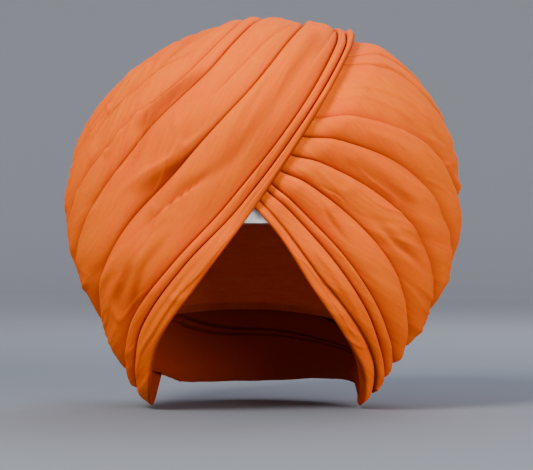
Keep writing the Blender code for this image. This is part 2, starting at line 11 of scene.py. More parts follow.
import bmesh
import bpy
import numpy as np
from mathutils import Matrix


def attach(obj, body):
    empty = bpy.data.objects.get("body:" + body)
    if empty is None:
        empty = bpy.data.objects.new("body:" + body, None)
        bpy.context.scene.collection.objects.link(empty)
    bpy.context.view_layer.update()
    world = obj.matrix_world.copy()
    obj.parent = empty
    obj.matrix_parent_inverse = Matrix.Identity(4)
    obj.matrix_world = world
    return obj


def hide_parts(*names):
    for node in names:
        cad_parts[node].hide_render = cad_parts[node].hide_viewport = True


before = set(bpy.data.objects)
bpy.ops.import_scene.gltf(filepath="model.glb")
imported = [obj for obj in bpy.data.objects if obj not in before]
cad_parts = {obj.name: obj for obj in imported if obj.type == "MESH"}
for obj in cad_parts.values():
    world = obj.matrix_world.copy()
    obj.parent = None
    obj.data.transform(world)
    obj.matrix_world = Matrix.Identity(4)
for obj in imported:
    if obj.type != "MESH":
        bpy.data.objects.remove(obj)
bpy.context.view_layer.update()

bl_info = {
    "name": "Tied Pagri",
    "version": (1, 0, 0),
    "blender": (4, 5, 0),
    "location": "View3D > Sidebar > Pagri",
    "description": "Winds a tied pagri from folds of orange cotton over a white band",
    "category": "Add Mesh",
}

# Outer form: radius from the centre, as a share of the half sizes, by elevation in degrees
FORM_COLUMNS = ("elevation", "left", "right", "front", "back")
FORM = (
    (-75, 1.150, 1.150, 0.760, 1.270),
    (-60, 1.094, 1.088, 0.760, 1.195),
    (-45, 0.995, 1.005, 0.790, 1.092),
    (-30, 0.934, 0.992, 0.786, 1.056),
    (-15, 0.943, 1.000, 0.777, 1.054),
    (0, 0.957, 1.021, 0.785, 1.052),
    (15, 0.976, 1.050, 0.882, 1.047),
    (30, 0.981, 1.068, 1.040, 1.040),
    (45, 0.976, 1.072, 1.094, 1.026),
    (60, 0.971, 1.064, 1.068, 1.006),
    (75, 0.986, 1.028, 1.022, 0.998),
    (90, 1.000, 1.000, 1.000, 1.000),
)

# Poles that the two groups are wound round, in degrees above the +X axis
LEFT_POLE = 145.0
RIGHT_POLE = 55.0

# Folds of the left group: angle from its pole, in degrees, at stations round the pole.
# Station 0 is over the crown, 90 the brow, 180 the lower left and 270 the back.
LEFT_STATIONS = tuple(range(0, 360, 30))
LEFT_FOLDS = {
    "edge": (82.5, 85.0, 87.5, 87.7, 87.0, 87.6, 96.0, 92.0, 88.5, 87.5, 86.5, 84.0),
    "pleat": (80.0, 83.5, 85.6, 83.5, 79.6, 80.8, 91.0, 87.5, 83.5, 82.5, 82.2, 80.8),
    "band": (77.0, 81.0, 83.2, 79.8, 76.2, 76.7, 86.5, 83.0, 78.5, 77.5, 77.8, 77.3),
    "sheet": (68.5, 70.2, 69.8, 61.7, 56.5, 60.7, 71.5, 69.0, 65.0, 63.0, 65.0, 67.5),
    "side": (57.5, 58.3, 57.3, 47.3, 42.6, 45.3, 54.5, 54.0, 50.0, 48.5, 51.5, 55.0),
    "high": (51.0, 54.5, 52.8, 40.3, 33.9, 35.5, 41.5, 41.0, 37.5, 36.0, 40.0, 45.5),
    "top": (43.0, 49.0, 41.0, 27.7, 21.7, 23.6, 28.5, 28.5, 25.5, 24.5, 28.5, 36.0),
}

# Folds of the right group: angle from its pole, in degrees. Station 80 lies under the left
# group at the brow, 180 is the lower right and 280 lies under the left group behind.
RIGHT_STATIONS = tuple(range(80, 300, 20))
RIGHT_FOLDS = {
    "first": (61.0, 48.7, 42.7, 42.2, 48.0, 56.0, 58.0, 56.0, 53.0, 52.0, 54.0),
    "second": (66.0, 56.5, 51.7, 53.1, 60.8, 71.5, 74.0, 71.0, 67.0, 66.0, 70.0),
    "third": (70.5, 64.2, 62.0, 64.9, 75.0, 86.5, 87.0, 83.0, 79.0, 79.0, 86.0),
    "fourth": (74.5, 71.6, 72.6, 78.6, 89.8, 98.5, 97.0, 93.0, 90.0, 92.5, 102.0),
    "fifth": (77.3, 79.3, 83.2, 89.8, 97.8, 103.5, 102.0, 101.0, 101.5, 107.0, 116.0),
    "sixth": (79.9, 82.2, 87.0, 93.7, 101.8, 107.6, 106.0, 107.0, 112.0, 122.0, 131.0),
    "seventh": (82.8, 87.6, 94.0, 99.0, 104.9, 111.8, 109.6, 113.0, 122.0, 140.0, 149.0),
    "edge": (86.0, 90.8, 98.6, 104.3, 109.3, 116.6, 113.4, 119.2, 135.0, 162.0, 170.0),
}

# Wraps: crest and dip are depths in metres; crest_at is a share of the width from the lip;
# roll is how late the top falls: low for a plump roll, high for a flat sheet
WRAP_COLUMNS = ("name", "outer", "inner", "beyond", "crest", "dip", "crest_at", "roll")
LEFT_WRAPS = (
    ("left_border_wrap", "pleat", "edge", None, 0.0014, 0.0002, 0.30, 2.0),
    ("left_pleat_wrap", "band", "pleat", "edge", 0.0014, 0.0034, 0.25, 2.6),
    ("left_wrap_1", "sheet", "band", "pleat", 0.0020, 0.0026, 0.16, 4.0),
    ("left_wrap_2", "side", "sheet", "band", 0.0018, 0.0028, 0.14, 4.0),
    ("left_wrap_3", "high", "side", "sheet", 0.0018, 0.0026, 0.20, 3.2),
    ("left_wrap_4", "top", "high", "side", 0.0016, 0.0022, 0.22, 3.2),
)
RIGHT_WRAPS = (
    ("right_edge_wrap", "seventh", "edge", None, 0.0006, 0.0012, 0.40, 2.2),
    ("right_wrap_1", "sixth", "seventh", "edge", 0.0018, 0.0004, 0.30, 2.2),
    ("right_wrap_2", "fifth", "sixth", "seventh", 0.0020, 0.0034, 0.30, 2.6),
    ("right_wrap_3", "fourth", "fifth", "sixth", 0.0024, 0.0040, 0.30, 2.6),
    ("right_wrap_4", "third", "fourth", "fifth", 0.0026, 0.0042, 0.30, 2.6),
    ("right_wrap_5", "second", "third", "fourth", 0.0026, 0.0042, 0.30, 2.6),
    ("right_wrap_6", "first", "second", "third", 0.0026, 0.0042, 0.30, 2.6),
)

# Pleats, creases and ridges of each wrap: kind, side that lies on top (1 away from the pole, -1
# towards it), height and width in metres, stations round the pole and angles from it in degrees
RELIEF = {
    "left_border_wrap": (
        ("pleat", -1, 0.0011, 0.0024,
         (96, 107, 117, 128, 138, 147, 159, 168), (87.2, 86.1, 85.6, 84.0, 83.9, 84.5, 85.8, 89.5)),
        ("valley", 1, 0.0007, 0.0020, (104, 118, 132, 146, 158), (83.6, 82.6, 81.8, 82.4, 84.2)),
        ("pleat", 1, 0.0006, 0.0016, (60, 72, 84, 96), (86.6, 86.8, 86.0, 85.2)),
    ),
    "left_pleat_wrap": (
        ("pleat", 1, 0.0008, 0.0022, (352, 4, 17, 31, 47, 58), (79.2, 79.8, 80.3, 81.9, 83.2, 84.0)),
    ),
    "left_wrap_1": (
        ("pleat", 1, 0.0017, 0.0050, (84, 92, 101, 111, 123), (71.3, 68.7, 65.4, 62.8, 61.8)),
        ("valley", 1, 0.0018, 0.0046, (124, 130, 136, 145, 156), (63.5, 65.5, 66.5, 68.1, 70.5)),
        ("pleat", 1, 0.0012, 0.0030, (352, 4, 17, 31, 49), (77.0, 77.5, 78.0, 78.8, 79.2)),
        ("valley", 1, 0.0012, 0.0050, (20, 40, 60, 83, 96, 105), (74.5, 76.0, 76.4, 72.1, 66.2, 63.6)),
        ("valley", 1, 0.0012, 0.0040, (108, 120, 130, 140, 154), (70.0, 68.8, 69.2, 72.0, 76.0)),
        ("valley", 1, 0.0012, 0.0060, (216, 240, 264, 290, 310), (75.0, 71.0, 70.5, 72.5, 75.0)),
    ),
    "left_wrap_2": (
        ("ridge", 1, 0.0015, 0.0024,
         (66, 75, 83, 91, 99, 109, 116), (68.0, 64.9, 61.5, 57.7, 53.6, 50.6, 49.0)),
        ("valley", 1, 0.0019, 0.0050,
         (66, 75, 83, 91, 99, 109, 116), (70.5, 67.4, 64.3, 60.7, 56.8, 53.6, 51.8)),
        ("pleat", 1, 0.0013, 0.0028, (14, 27, 41, 53, 62, 74), (68.0, 67.4, 66.2, 65.2, 63.6, 60.5)),
        ("valley", 1, 0.0010, 0.0050, (80, 87, 102, 116, 127, 140), (65.0, 63.1, 58.7, 57.2, 58.0, 60.5)),
        ("pleat", 1, 0.0010, 0.0050, (240, 262, 285, 310, 334), (57.0, 55.5, 56.5, 59.0, 62.5)),
    ),
    "left_wrap_3": (
        ("valley", 1, 0.0022, 0.0050,
         (56, 59, 62, 65, 69, 75, 84, 94), (57.2, 56.4, 55.2, 54.0, 52.0, 49.1, 46.0, 43.6)),
        ("ridge", 1, 0.0013, 0.0026, (58, 65, 75, 84, 96, 108), (53.0, 50.6, 45.8, 43.2, 40.0, 38.4)),
        ("valley", 1, 0.0010, 0.0040, (200, 226, 250, 280), (49.5, 47.0, 43.0, 42.0)),
    ),
    "left_wrap_4": (
        ("pleat", 1, 0.0015, 0.0030, (47, 51, 58, 66, 76), (50.3, 42.9, 36.5, 33.5, 31.4)),
        ("valley", 1, 0.0012, 0.0030, (48, 55, 62, 74, 90, 104), (53.2, 48.3, 41.0, 33.5, 29.5, 27.6)),
        ("pleat", 1, 0.0009, 0.0040, (214, 240, 266, 290), (35.0, 31.5, 30.0, 32.0)),
    ),
    "left_crown_cap": (
        ("pleat", 1, 0.0016, 0.0030, (75, 86, 98, 110, 121, 142), (27.0, 23.4, 20.4, 19.4, 18.6, 19.6)),
        ("pleat", 1, 0.0016, 0.0040,
         (160, 190, 220, 250, 280, 310, 340), (19.5, 20.5, 19.0, 17.5, 17.5, 21.0, 28.0)),
        ("pleat", 1, 0.0014, 0.0040, (350, 20, 60, 100, 140, 180, 220, 260, 300),
         (27.0, 23.0, 15.5, 12.5, 12.0, 12.0, 11.0, 10.5, 12.0)),
        ("pleat", 1, 0.0014, 0.0040, (350, 10, 30, 50, 70), (36.0, 39.0, 40.5, 33.0, 23.5)),
    ),
    "right_edge_wrap": (
        ("pleat", -1, 0.0007, 0.0018,
         (89, 97, 106, 117, 128, 138, 150), (85.3, 88.4, 91.2, 94.8, 98.2, 101.4, 104.6)),
    ),
    "right_wrap_1": (
        ("ridge", 1, 0.0010, 0.0026,
         (104, 111, 121, 131, 143, 152), (85.4, 87.2, 90.2, 93.6, 98.2, 101.4)),
        ("valley", 1, 0.0012, 0.0032, (138, 148, 154, 163, 170), (98.8, 101.2, 103.7, 107.1, 109.6)),
    ),
    "right_wrap_2": (
        ("valley", 1, 0.0006, 0.0026, (104, 118, 132, 146), (82.0, 84.6, 88.8, 93.6)),
    ),
    "right_wrap_3": (
        ("valley", 1, 0.0013, 0.0022, (100, 105, 110, 118, 127), (72.4, 74.0, 76.0, 78.6, 80.8)),
    ),
    "right_wrap_4": (
        ("pleat", 1, 0.0014, 0.0022, (100, 105, 110, 116), (70.6, 69.7, 69.4, 70.8)),
        ("ridge", 1, 0.0013, 0.0024, (124, 131, 138, 145, 150), (71.0, 72.4, 74.0, 74.8, 75.6)),
        ("valley", 1, 0.0015, 0.0034, (120, 128, 136, 146, 154), (68.5, 69.8, 71.6, 73.0, 75.5)),
        ("valley", 1, 0.0009, 0.0050, (188, 210, 232, 254), (92.0, 91.0, 88.0, 85.0)),
    ),
    "right_wrap_5": (
        ("valley", 1, 0.0010, 0.0040, (96, 112, 128, 144), (62.0, 58.6, 58.2, 61.0)),
        ("valley", 1, 0.0010, 0.0050, (190, 212, 236, 256), (80.0, 79.0, 75.0, 72.0)),
    ),
    "right_wrap_6": (
        ("ridge", 1, 0.0010, 0.0028, (100, 114, 130, 146), (52.4, 48.6, 47.4, 50.4)),
        ("pleat", 1, 0.0009, 0.0040, (196, 216, 236, 252), (66.0, 65.0, 62.0, 60.0)),
    ),
    "right_crown_wrap": (
        ("pleat", -1, 0.0016, 0.0034, (62, 70, 79, 88, 98, 115, 150, 190, 230, 270, 290),
         (43.0, 36.0, 28.6, 21.2, 17.2, 14.5, 14.0, 17.0, 17.0, 15.0, 15.0)),
        ("pleat", -1, 0.0018, 0.0036, (64, 74, 82, 89, 96, 105, 118, 140, 170, 200, 230, 260, 284),
         (47.0, 40.0, 34.2, 29.8, 26.9, 23.5, 21.5, 22.5, 26.5, 28.0, 27.0, 24.0, 23.0)),
        ("pleat", -1, 0.0007, 0.0040, (82, 98, 110, 128, 146, 160, 180, 210, 240, 265, 282),
         (47.0, 39.0, 34.9, 33.1, 35.7, 37.6, 38.6, 38.0, 35.0, 32.0, 31.5)),
        ("pleat", -1, 0.0006, 0.0040, (78, 89, 99, 114, 136, 150, 170, 200, 230, 256, 278),
         (54.0, 48.2, 42.9, 38.8, 38.3, 41.6, 46.0, 48.0, 45.0, 41.0, 39.0)),
        ("valley", 1, 0.0010, 0.0040, (150, 180, 210, 240, 262), (43.5, 50.0, 50.5, 47.0, 43.0)),
    ),
}

# Lowest elevation that the inner turns reach, in degrees, by direction in plan (-90 front)
CORE_PLAN = (-180, -150, -135, -120, -105, -90, -75, -60, -45, -30, 0, 45, 90, 135, 180)
CORE_FLOOR = (-46, -36, -26, 2, 20, 25, 20, 4, -26, -40, -47, -38, -31, -36, -46)

# Noise: the size of its lattice, and the seed that each piece adds to the first one
NOISE_SEED = 11
LATTICE = 257
RIGHT_SEED = 40
CAP_SEED = 70
CROWN_SEED = 90
CORE_SEED = 120
BAND_SEED = 140

# Shape of the hollow under the brow, and how the cloth clears the band, in degrees and metres
HEAD_TAPER = 0.06
TAPER_FROM = 25.0
TAPER_OVER = 35.0
LEAST_FLAT = 0.05
BAND_CLEAR = 0.012
BAND_FADE = 0.010

# Depths of the winding in metres, where it has its full room
FULL_ROOM = 0.0125
LEAST_SHARE = 0.25
LEAST_LAP = 0.0010
BORDER_DEPTH = 0.0029
FLOOR_DEPTH = 0.0057
TUCK_DEPTH = 0.0026
TAIL_FALL = 0.0009
THIN_REACH = 0.019
THIN_FADE = 0.006

# How the right group is pressed flat and sinks at the left group's edge
SINK_REACH = 0.0028
PRESSED_CREST = 0.0026
PRESSED_DEPTH = 0.0034
END_DEPTH = 0.0077
PRESSED_LOSS = 0.55
END_LOSS = 0.70

# Places on a wrap as shares: how far its tail runs under the next wrap, and its underside's points
TAIL_SHARE = 0.35
UNDER_SHARES = (0.80, 0.62, 0.45)
LIP_SHARES = (0.45, 0.20, 0.06, 0.0)
EDGE_SHARES = (1.0, 0.75, 0.5, 0.25, 0.0)
SEAT_SHARES = (1.0, 0.80, 0.55)
STEP_SHARES = (0.55, 0.45)
LIP_EASE = 0.0012
FAR_EASE = 0.0016
LIP_POWER = 0.8
EDGE_LIFT_POWER = 3
EDGE_FALL_POWER = 6
TUCK_FALL = 0.0010

# Stations where the right group's wraps begin, come into sight, leave it and end, and the count
# of sections in each hidden stretch
RIGHT_BEGIN = 83.6
RIGHT_SEEN_FROM = 91.0
RIGHT_SEEN_TO = 265.0
RIGHT_END = 277.0
HIDDEN_SECTIONS = 14

# The closing turn on the left, and the broad wrap over the right of the crown
CAP_CREST = 0.0004
CAP_DIP = 0.0020
CAP_WIDTH = 0.050
CAP_RINGS = 90
CAP_FALL_POWER = 6
CAP_UNDER_SHARES = (0.75, 0.50, 0.25)
POLE_SHARE = 0.004
CROWN_CREST = 0.0006
CROWN_DIP = 0.0042
CROWN_WIDTH = 0.070
CROWN_FALL_POWER = 7
CROWN_TUCK_SHARES = (0.0, 0.4, 0.78)
CROWN_UNDER_SHARES = (0.82, 0.64, 0.46, 0.28, 0.12)
CROWN_TUCK = 6.0
CROWN_START = 52.0
CROWN_END = -46.0
CROWN_SOFTER = 2.4

# The inner turns: depth under the outer form, least wall, and the small step at each turn
CORE_DEPTH = 0.0131
CORE_WALL = 0.0030
CORE_SIDES = 240
CORE_RINGS = 80
TURN_STEP = 0.0012
TURN_ROUGH = 0.0004

# Heights of the band's hem over its lower edge, and of its stitched line
HEM_HEIGHTS = (0.0, 0.0004, 0.0010, 0.0022, 0.0032, 0.0036, 0.0040)
ABOVE_HEM = 0.0050
BAND_SIDES = 360
BAND_RINGS = 18
STITCH_HEIGHT = 0.0036
STITCH_DEPTH = 0.00045
STITCH_WIDTH = 0.0004
HEM_PUFF = 0.0002
BAND_RIPPLE = 0.00012

# Pleats and creases: degrees over which their ends fade, and the share that stands up as a lip
END_FADE = 14.0
PLEAT_LIP = 0.45

# Drawn folds: periods in degrees, round the pole and away from it
SWAY_PERIODS = (24.0, 14.0)
BROAD_PERIODS = (24.0, 3.4)
MIDDLE_PERIODS = (15.0, 1.4)
FINE_PERIODS = (9.0, 0.42)
PATCH_PERIODS = (30.0, 8.0)
CREASE_PERIODS = (24.0, 4.2)
SWAY = 2.2

# Painted shade in the folds: depth in metres at which it is full, and how strong it is
FALL_SHADE = (0.0060, 0.45)
LIP_SHADE = (0.0016, 0.90)
CARVED_SHADE = (0.0016, 0.42)
DRAWN_SHADE = (0.0012, 0.10)

# Weave: shares of the slubs, threads, cross threads and soft patches in the colour and the height
COLOUR_SHARES = (0.55, 0.35, 0.22, 0.45)
HEIGHT_SHARES = (1.0, 0.8, 0.5)
COLOUR_RANGE = (0.56, 1.00)
COTTON_SPECULAR = 0.08

# Stage: a round sheet of paper that curves up to a wall, and its lights
PAPER_FLAT = 3.2
PAPER_CURVE = 1.6
PAPER_WALL = 3.6
PAPER_SIDES = 96
CURVE_STEPS = 16
SENSOR_WIDTH = 36.0
AIR_COLOUR = (0.92, 0.95, 1.0)
LIGHTS = (
    ("key_light", (-0.80, -1.20, 1.25), 0.55, "key_power", (1.0, 0.94, 0.78)),
    ("fill_light", (1.10, -1.45, 0.40), 1.1, "fill_power", (1.0, 0.94, 0.80)),
    ("top_light", (0.5, 0.9, 1.3), 1.2, "top_power", (1.0, 1.0, 1.0)),
)


def smooth_step(value):
    """Ease from 0 to 1 as value goes from 0 to 1."""
    t = np.clip(value, 0.0, 1.0)
    return t * t * (3.0 - 2.0 * t)


def read_curve(places, values, at, period=None):
    """Read a smooth curve through values given at rising places."""
    x = np.asarray(places, float)
    y = np.asarray(values, float)
    at = np.asarray(at, float)
    if period:
        x = np.concatenate([x[-2:] - period, x, x[:2] + period])
        y = np.concatenate([y[-2:], y, y[:2]])
        at = np.mod(at - places[0], period) + places[0]
    at = np.clip(at, x[0], x[-1])
    k = np.clip(np.searchsorted(x, at, side="right") - 1, 0, len(x) - 2)
    slope = np.gradient(y, x)
    h = x[k + 1] - x[k]
    t = (at - x[k]) / h
    start = (2 * t ** 3 - 3 * t ** 2 + 1) * y[k] + (t ** 3 - 2 * t ** 2 + t) * h * slope[k]
    end = (3 * t ** 2 - 2 * t ** 3) * y[k + 1] + (t ** 3 - t ** 2) * h * slope[k + 1]
    return start + end


def cloth_noise(along, across, seed, period=0):
    """Smooth noise between -1 and 1 on a lattice, with a whole period along if given."""
    lattice = np.random.RandomState(NOISE_SEED + seed).uniform(-1.0, 1.0, (LATTICE, LATTICE))
    along, across = np.broadcast_arrays(np.asarray(along, float), np.asarray(across, float))
    i = np.floor(along).astype(int)
    j = np.floor(across).astype(int)
    s = smooth_step(along - i)
    t = smooth_step(across - j)
    first = np.mod(i, period or LATTICE)
    after = np.mod(i + 1, period or LATTICE)
    j = np.mod(j, LATTICE - 1)
    low = lattice[first, j] * (1 - s) + lattice[after, j] * s
    high = lattice[first, j + 1] * (1 - s) + lattice[after, j + 1] * s
    return low * (1 - t) + high * t


def sizes():
    """The pagri's sizes, as set in the panel."""
    return bpy.context.scene.pagri_sizes


def folds():
    """The fold settings, as set in the panel."""
    return bpy.context.scene.pagri_folds


def form_column(name):
    """One column of the table of the outer form."""
    return [row[FORM_COLUMNS.index(name)] for row in FORM]


def outer_radius(direction):
    """Unit rays and distances of the outer form from the centre."""
    size = sizes()
    plan = np.arctan2(direction[..., 1], direction[..., 0])
    cx = np.cos(plan)
    sy = np.sin(plan)
    elevation = np.degrees(np.arcsin(np.clip(direction[..., 2], -1.0, 1.0)))
    places = form_column("elevation")
    left = read_curve(places, form_column("left"), elevation)
    right = read_curve(places, form_column("right"), elevation)
    front = read_curve(places, form_column("front"), elevation)
    back = read_curve(places, form_column("back"), elevation)
    wide = left + (right - left) * (1 + cx) / 2
    deep = front + (back - front) * (1 + sy) / 2
    share = 1 / np.sqrt((cx / wide) ** 2 + (sy / deep) ** 2)
    half = np.array([size.half_width, size.half_depth, size.crown_rise])
    point = direction * half * share[..., None]
    radius = np.linalg.norm(point, axis=-1)
    return point / radius[..., None], radius


def head_radius(ray):
    """Distance from the centre to the hollow's wall along unit rays."""
    size = sizes()
    plan = np.arctan2(ray[..., 1], ray[..., 0])
    flat = np.hypot(ray[..., 0], ray[..., 1])
    elevation = np.degrees(np.arcsin(np.clip(ray[..., 2], -1.0, 1.0)))
    across = (np.cos(plan) / size.head_half_width) ** 2 + (np.sin(plan) / size.head_half_length) ** 2
    round_plan = 1 / np.sqrt(across)
    above = 1 / np.sqrt((flat / round_plan) ** 2 + (ray[..., 2] / size.head_crown_rise) ** 2)
    taper = 1 - HEAD_TAPER * smooth_step((-elevation - TAPER_FROM) / TAPER_OVER)
    below = round_plan * taper / np.maximum(flat, LEAST_FLAT)
    return np.where(elevation > 0, above, below)


def rest_radius(ray):
    """Where the cloth's inner side may begin: on the under band, or just off the hollow's wall."""
    size = sizes()
    head = head_radius(ray)
    height = head * ray[..., 2]
    near = smooth_step((height - size.band_lower + BAND_CLEAR) / BAND_FADE)
    near = near * smooth_step((size.band_upper + BAND_CLEAR - height) / BAND_FADE)
    return head + size.head_clearance + near * (size.band_thickness + size.cloth_gap)


def place(direction, level):
    """Points at a level in metres above (+) or under (-) the outer form."""
    ray, radius = outer_radius(direction)
    return ray * (radius + level)[..., None] + np.array([0.0, 0.0, sizes().centre_height])


def room_share(direction):
    """How much of the full padding fits between the hollow and the outer form."""
    ray, radius = outer_radius(direction)
    return np.clip((radius - rest_radius(ray)) / FULL_ROOM, LEAST_SHARE, 1.0)


def round_pole(pole, turn, away):
    """Unit directions at angles turn round a pole and away from it, in degrees."""
    p = math.radians(pole)
    side = 1.0 if pole > 90.0 else -1.0
    axis = np.array([math.cos(p), 0.0, math.sin(p)])
    over = side * np.array([math.sin(p), 0.0, -math.cos(p)])
    ahead = np.array([0.0, -1.0, 0.0])
    t = np.radians(np.asarray(turn, float))[..., None]
    a = np.radians(np.asarray(away, float))[..., None]
    return axis * np.cos(a) + np.sin(a) * (over * np.cos(t) + ahead * np.sin(t))


def polar_places(pole, direction):
    """Angles turn round a pole and away from it, in degrees, of unit directions."""
    p = math.radians(pole)
    side = 1.0 if pole > 90.0 else -1.0
    axis = np.array([math.cos(p), 0.0, math.sin(p)])
    over = side * np.array([math.sin(p), 0.0, -math.cos(p)])
    away = np.degrees(np.arccos(np.clip(direction @ axis, -1.0, 1.0)))
    turn = np.degrees(np.arctan2(-direction[..., 1], direction @ over))
    return np.mod(turn, 360.0), away


def left_angle(name, turn):
    """Angle from the left pole of a fold of the left group."""
    return read_curve(LEFT_STATIONS, LEFT_FOLDS[name], turn, 360.0)


def right_angle(name, turn):
    """Angle from the right pole of a fold of the right group."""
    return read_curve(RIGHT_STATIONS, RIGHT_FOLDS[name], turn)


def past_edge(direction):
    """Distance in metres from the left group's edge, negative where that group covers."""
    turn, away = polar_places(LEFT_POLE, direction)
    return np.radians(away - left_angle("edge", turn)) * sizes().half_width


def between(first, second, share):
    """Directions part of the way from one direction to another, or past it."""
    blend = first + (second - first) * share
    return blend / np.linalg.norm(blend, axis=-1, keepdims=True)


def near_edge(direction):
    """How far the right group is pressed by the left group's edge, from 0 to 1."""
    reach = folds().press_reach
    return smooth_step((reach - past_edge(direction)) / reach)


def under_edge(direction):
    """How far the right group has gone under the left group's edge, from 0 to 1."""
    return smooth_step(-past_edge(direction) / SINK_REACH)


def flatness(direction):
    """Share of its relief that the right group keeps where the left group presses it."""
    return (1.0 - PRESSED_LOSS * near_edge(direction)) * (1.0 - END_LOSS * under_edge(direction))


def sink(direction, level):
    """Let the right group flatten and sink where it passes under the left group's edge."""
    crest = PRESSED_CREST - (PRESSED_CREST + PRESSED_DEPTH + TAIL_FALL) * near_edge(direction)
    crest = crest - (END_DEPTH - PRESSED_DEPTH - TAIL_FALL) * under_edge(direction)
    return crest + (level - PRESSED_CREST) * flatness(direction)


def lap(direction, depth, pressed=False):
    """Depth where one wrap passes under the next, before it is thinned to the room."""
    least = LEAST_LAP / room_share(direction)
    if pressed:
        least = least / flatness(direction)
    return np.maximum(depth, least)


def left_floor(direction):
    """Underside of the left wraps: thin over the ends of the right group, else padded."""
    full = smooth_step((-past_edge(direction) - THIN_REACH) / THIN_FADE)
    return -(FLOOR_DEPTH + (sizes().wrap_depth - FLOOR_DEPTH) * full) * room_share(direction)


def swell(share, width, crest, dip, crest_at, roll):
    """Level of a wrap's top: round over the lip, up to its crest, then down to its dip."""
    rise = np.clip(share / crest_at, 0.0, 1.0)
    fall = np.clip((share - crest_at) / (1.0 - crest_at), 0.0, 1.0)
    level = crest * np.sin(rise * math.pi / 2) ** LIP_POWER - (crest + dip) * fall ** roll
    lip = np.clip(1.0 - share * width / folds().lip_round, 0.0, 1.0)
    return level - folds().lip_drop * (1.0 - np.sqrt(np.maximum(0.0, 1.0 - lip ** 2)))


def relief(wrap, turn, away, reach, softer=1.0):
    """Height of the pleats, creases and ridges laid along a wrap."""
    level = np.zeros(np.broadcast(turn, away).shape)
    for kind, side, height, width, stations, angles in RELIEF.get(wrap, ()):
        first = stations[0]
        places = np.mod(np.asarray(stations, float) - first, 360.0)
        at = np.mod(turn - first, 360.0)
        line = read_curve(places, angles, at)
        ease = min(END_FADE, places[-1] / 2)
        fade = smooth_step(np.minimum(at, places[-1] - at) / ease)
        d = side * np.radians(away - line) * sizes().half_width
        if kind == "valley":
            shape = -np.exp(-(d / width) ** 2)
        elif kind == "ridge":
            shape = np.exp(-(d / width) ** 2)
        else:
            step = smooth_step(d / (folds().pleat_edge * softer) + 0.5)
            dark = -np.exp(-np.maximum(-d, 0.0) / width)
            lip = PLEAT_LIP * np.exp(-np.maximum(d, 0.0) / width)
            shape = dark * (1 - step) + lip * step
        level = level + height * fade * shape
    return level * reach


def drawn_folds(turn, away, seed):
    """Soft folds, creases and fine strain lines that run with the winding."""
    setting = folds()

    def layer(periods, across, shift):
        along, apart = periods
        return cloth_noise(turn / along, across / apart, seed + shift, round(360.0 / along))

    sway = SWAY * layer(SWAY_PERIODS, away, 4)
    across = away + sway
    broad = layer(BROAD_PERIODS, across, 0)
    middle = layer(MIDDLE_PERIODS, across, 1)
    fine = layer(FINE_PERIODS, across - sway * 0.5, 2)
    patch = smooth_step(0.5 + 0.9 * layer(PATCH_PERIODS, away, 3))
    crease = 1.0 - np.abs(layer(CREASE_PERIODS, across + CREASE_PERIODS[1] / 2, 5))
    level = broad * setting.soft_fold + middle * setting.soft_fold * 0.5 * patch
    level = level + setting.crease * patch * (smooth_step(crease * 4.0 - 3.0) - 0.25)
    return level + fine * setting.strain_line * (0.4 + 0.6 * patch)


def painted_fold_shade(level, share, width, crest, carved, drawn):
    """Painted shade: how deep each point lies in its fold, from 0 on the crest to 1 in the crease, which
    darkens its colour.
    """
    depth = FALL_SHADE[1] * smooth_step((crest - level) / FALL_SHADE[0])
    depth = depth + LIP_SHADE[1] * np.exp(-((1.0 - share) * width / LIP_SHADE[0]) ** 2)
    depth = depth + CARVED_SHADE[1] * smooth_step(-carved / CARVED_SHADE[0])
    depth = depth + DRAWN_SHADE[1] * smooth_step(-drawn / DRAWN_SHADE[0])
    return np.clip(depth, 0.0, 1.0)


def across_shares(count, power=1.5):
    """Shares across a wrap, close together by the lip and by the far side."""
    t = np.linspace(0.0, 1.0, count)
    near = t ** power
    far = 1.0 - (1.0 - t) ** power
    return near * (1 - t) + far * t


def lofted(name, top, bottom, places, closed, material, fold_depth=None, capped=False):
    """A closed cloth body from rows of top and bottom points, with its cloth places as UVs and its painted
    shade as a point attribute.
    """
    points = np.concatenate([top, bottom], axis=1)
    rows, count = points.shape[:2]
    steps = rows if closed else rows - 1
    i = np.repeat(np.arange(steps), count)
    j = np.tile(np.arange(count), steps)
    after = np.mod(i + 1, rows)
    k = np.mod(j + 1, count)
    if capped:
        ring = j < count - 1
        i, j, after, k = i[ring], j[ring], after[ring], k[ring]
    quads = np.stack([i * count + j, i * count + k, after * count + k, after * count + j], axis=1)
    mesh = bpy.data.meshes.new(name)
    faces = quads.tolist()
    if capped:
        faces.append([row * count for row in range(rows)])
        faces.append([row * count + count - 1 for row in range(rows)][::-1])
    if not closed:
        faces.append(list(range(count)))
        faces.append(list(range((rows - 1) * count, rows * count))[::-1])
    mesh.from_pydata(points.reshape(-1, 3).tolist(), [], faces)
    uv = mesh.uv_layers.new(name="cloth")
    u, v = places
    u = np.concatenate([u, u[-1:] + (u[-1:] - u[-2:-1])], axis=0)
    v = np.concatenate([v, v[:1] if closed else v[-1:]], axis=0)
    corner_u = np.stack([u[i, j], u[i, k], u[i + 1, k], u[i + 1, j]], axis=1)
    corner_v = np.stack([v[i, j], v[i, k], v[i + 1, k], v[i + 1, j]], axis=1)
    corners = np.stack([corner_u, corner_v], axis=-1).reshape(-1, 2)
    values = np.zeros((len(mesh.loops), 2))
    values[:len(corners)] = corners
    uv.data.foreach_set("uv", values.reshape(-1))
    # Painted shade: each point's depth in its fold, full on the rows under the top, kept for the material to
    # darken the colour
    if fold_depth is not None:
        painted_shade = np.ones((rows, count))
        painted_shade[:, :fold_depth.shape[1]] = fold_depth
        shade = mesh.attributes.new("fold_depth", "FLOAT", "POINT")
        shade.data.foreach_set("value", painted_shade.reshape(-1).astype(np.float32))
    body = bmesh.new()
    body.from_mesh(mesh)
    bmesh.ops.recalc_face_normals(body, faces=body.faces)
    body.to_mesh(mesh)
    body.free()
    mesh.shade_smooth()
    mesh.set_sharp_from_angle(angle=math.radians(62))
    mesh.materials.append(material)
    thing = bpy.data.objects.new(name, mesh)
    bpy.context.scene.collection.objects.link(thing)
    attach(thing, "root")
    return thing


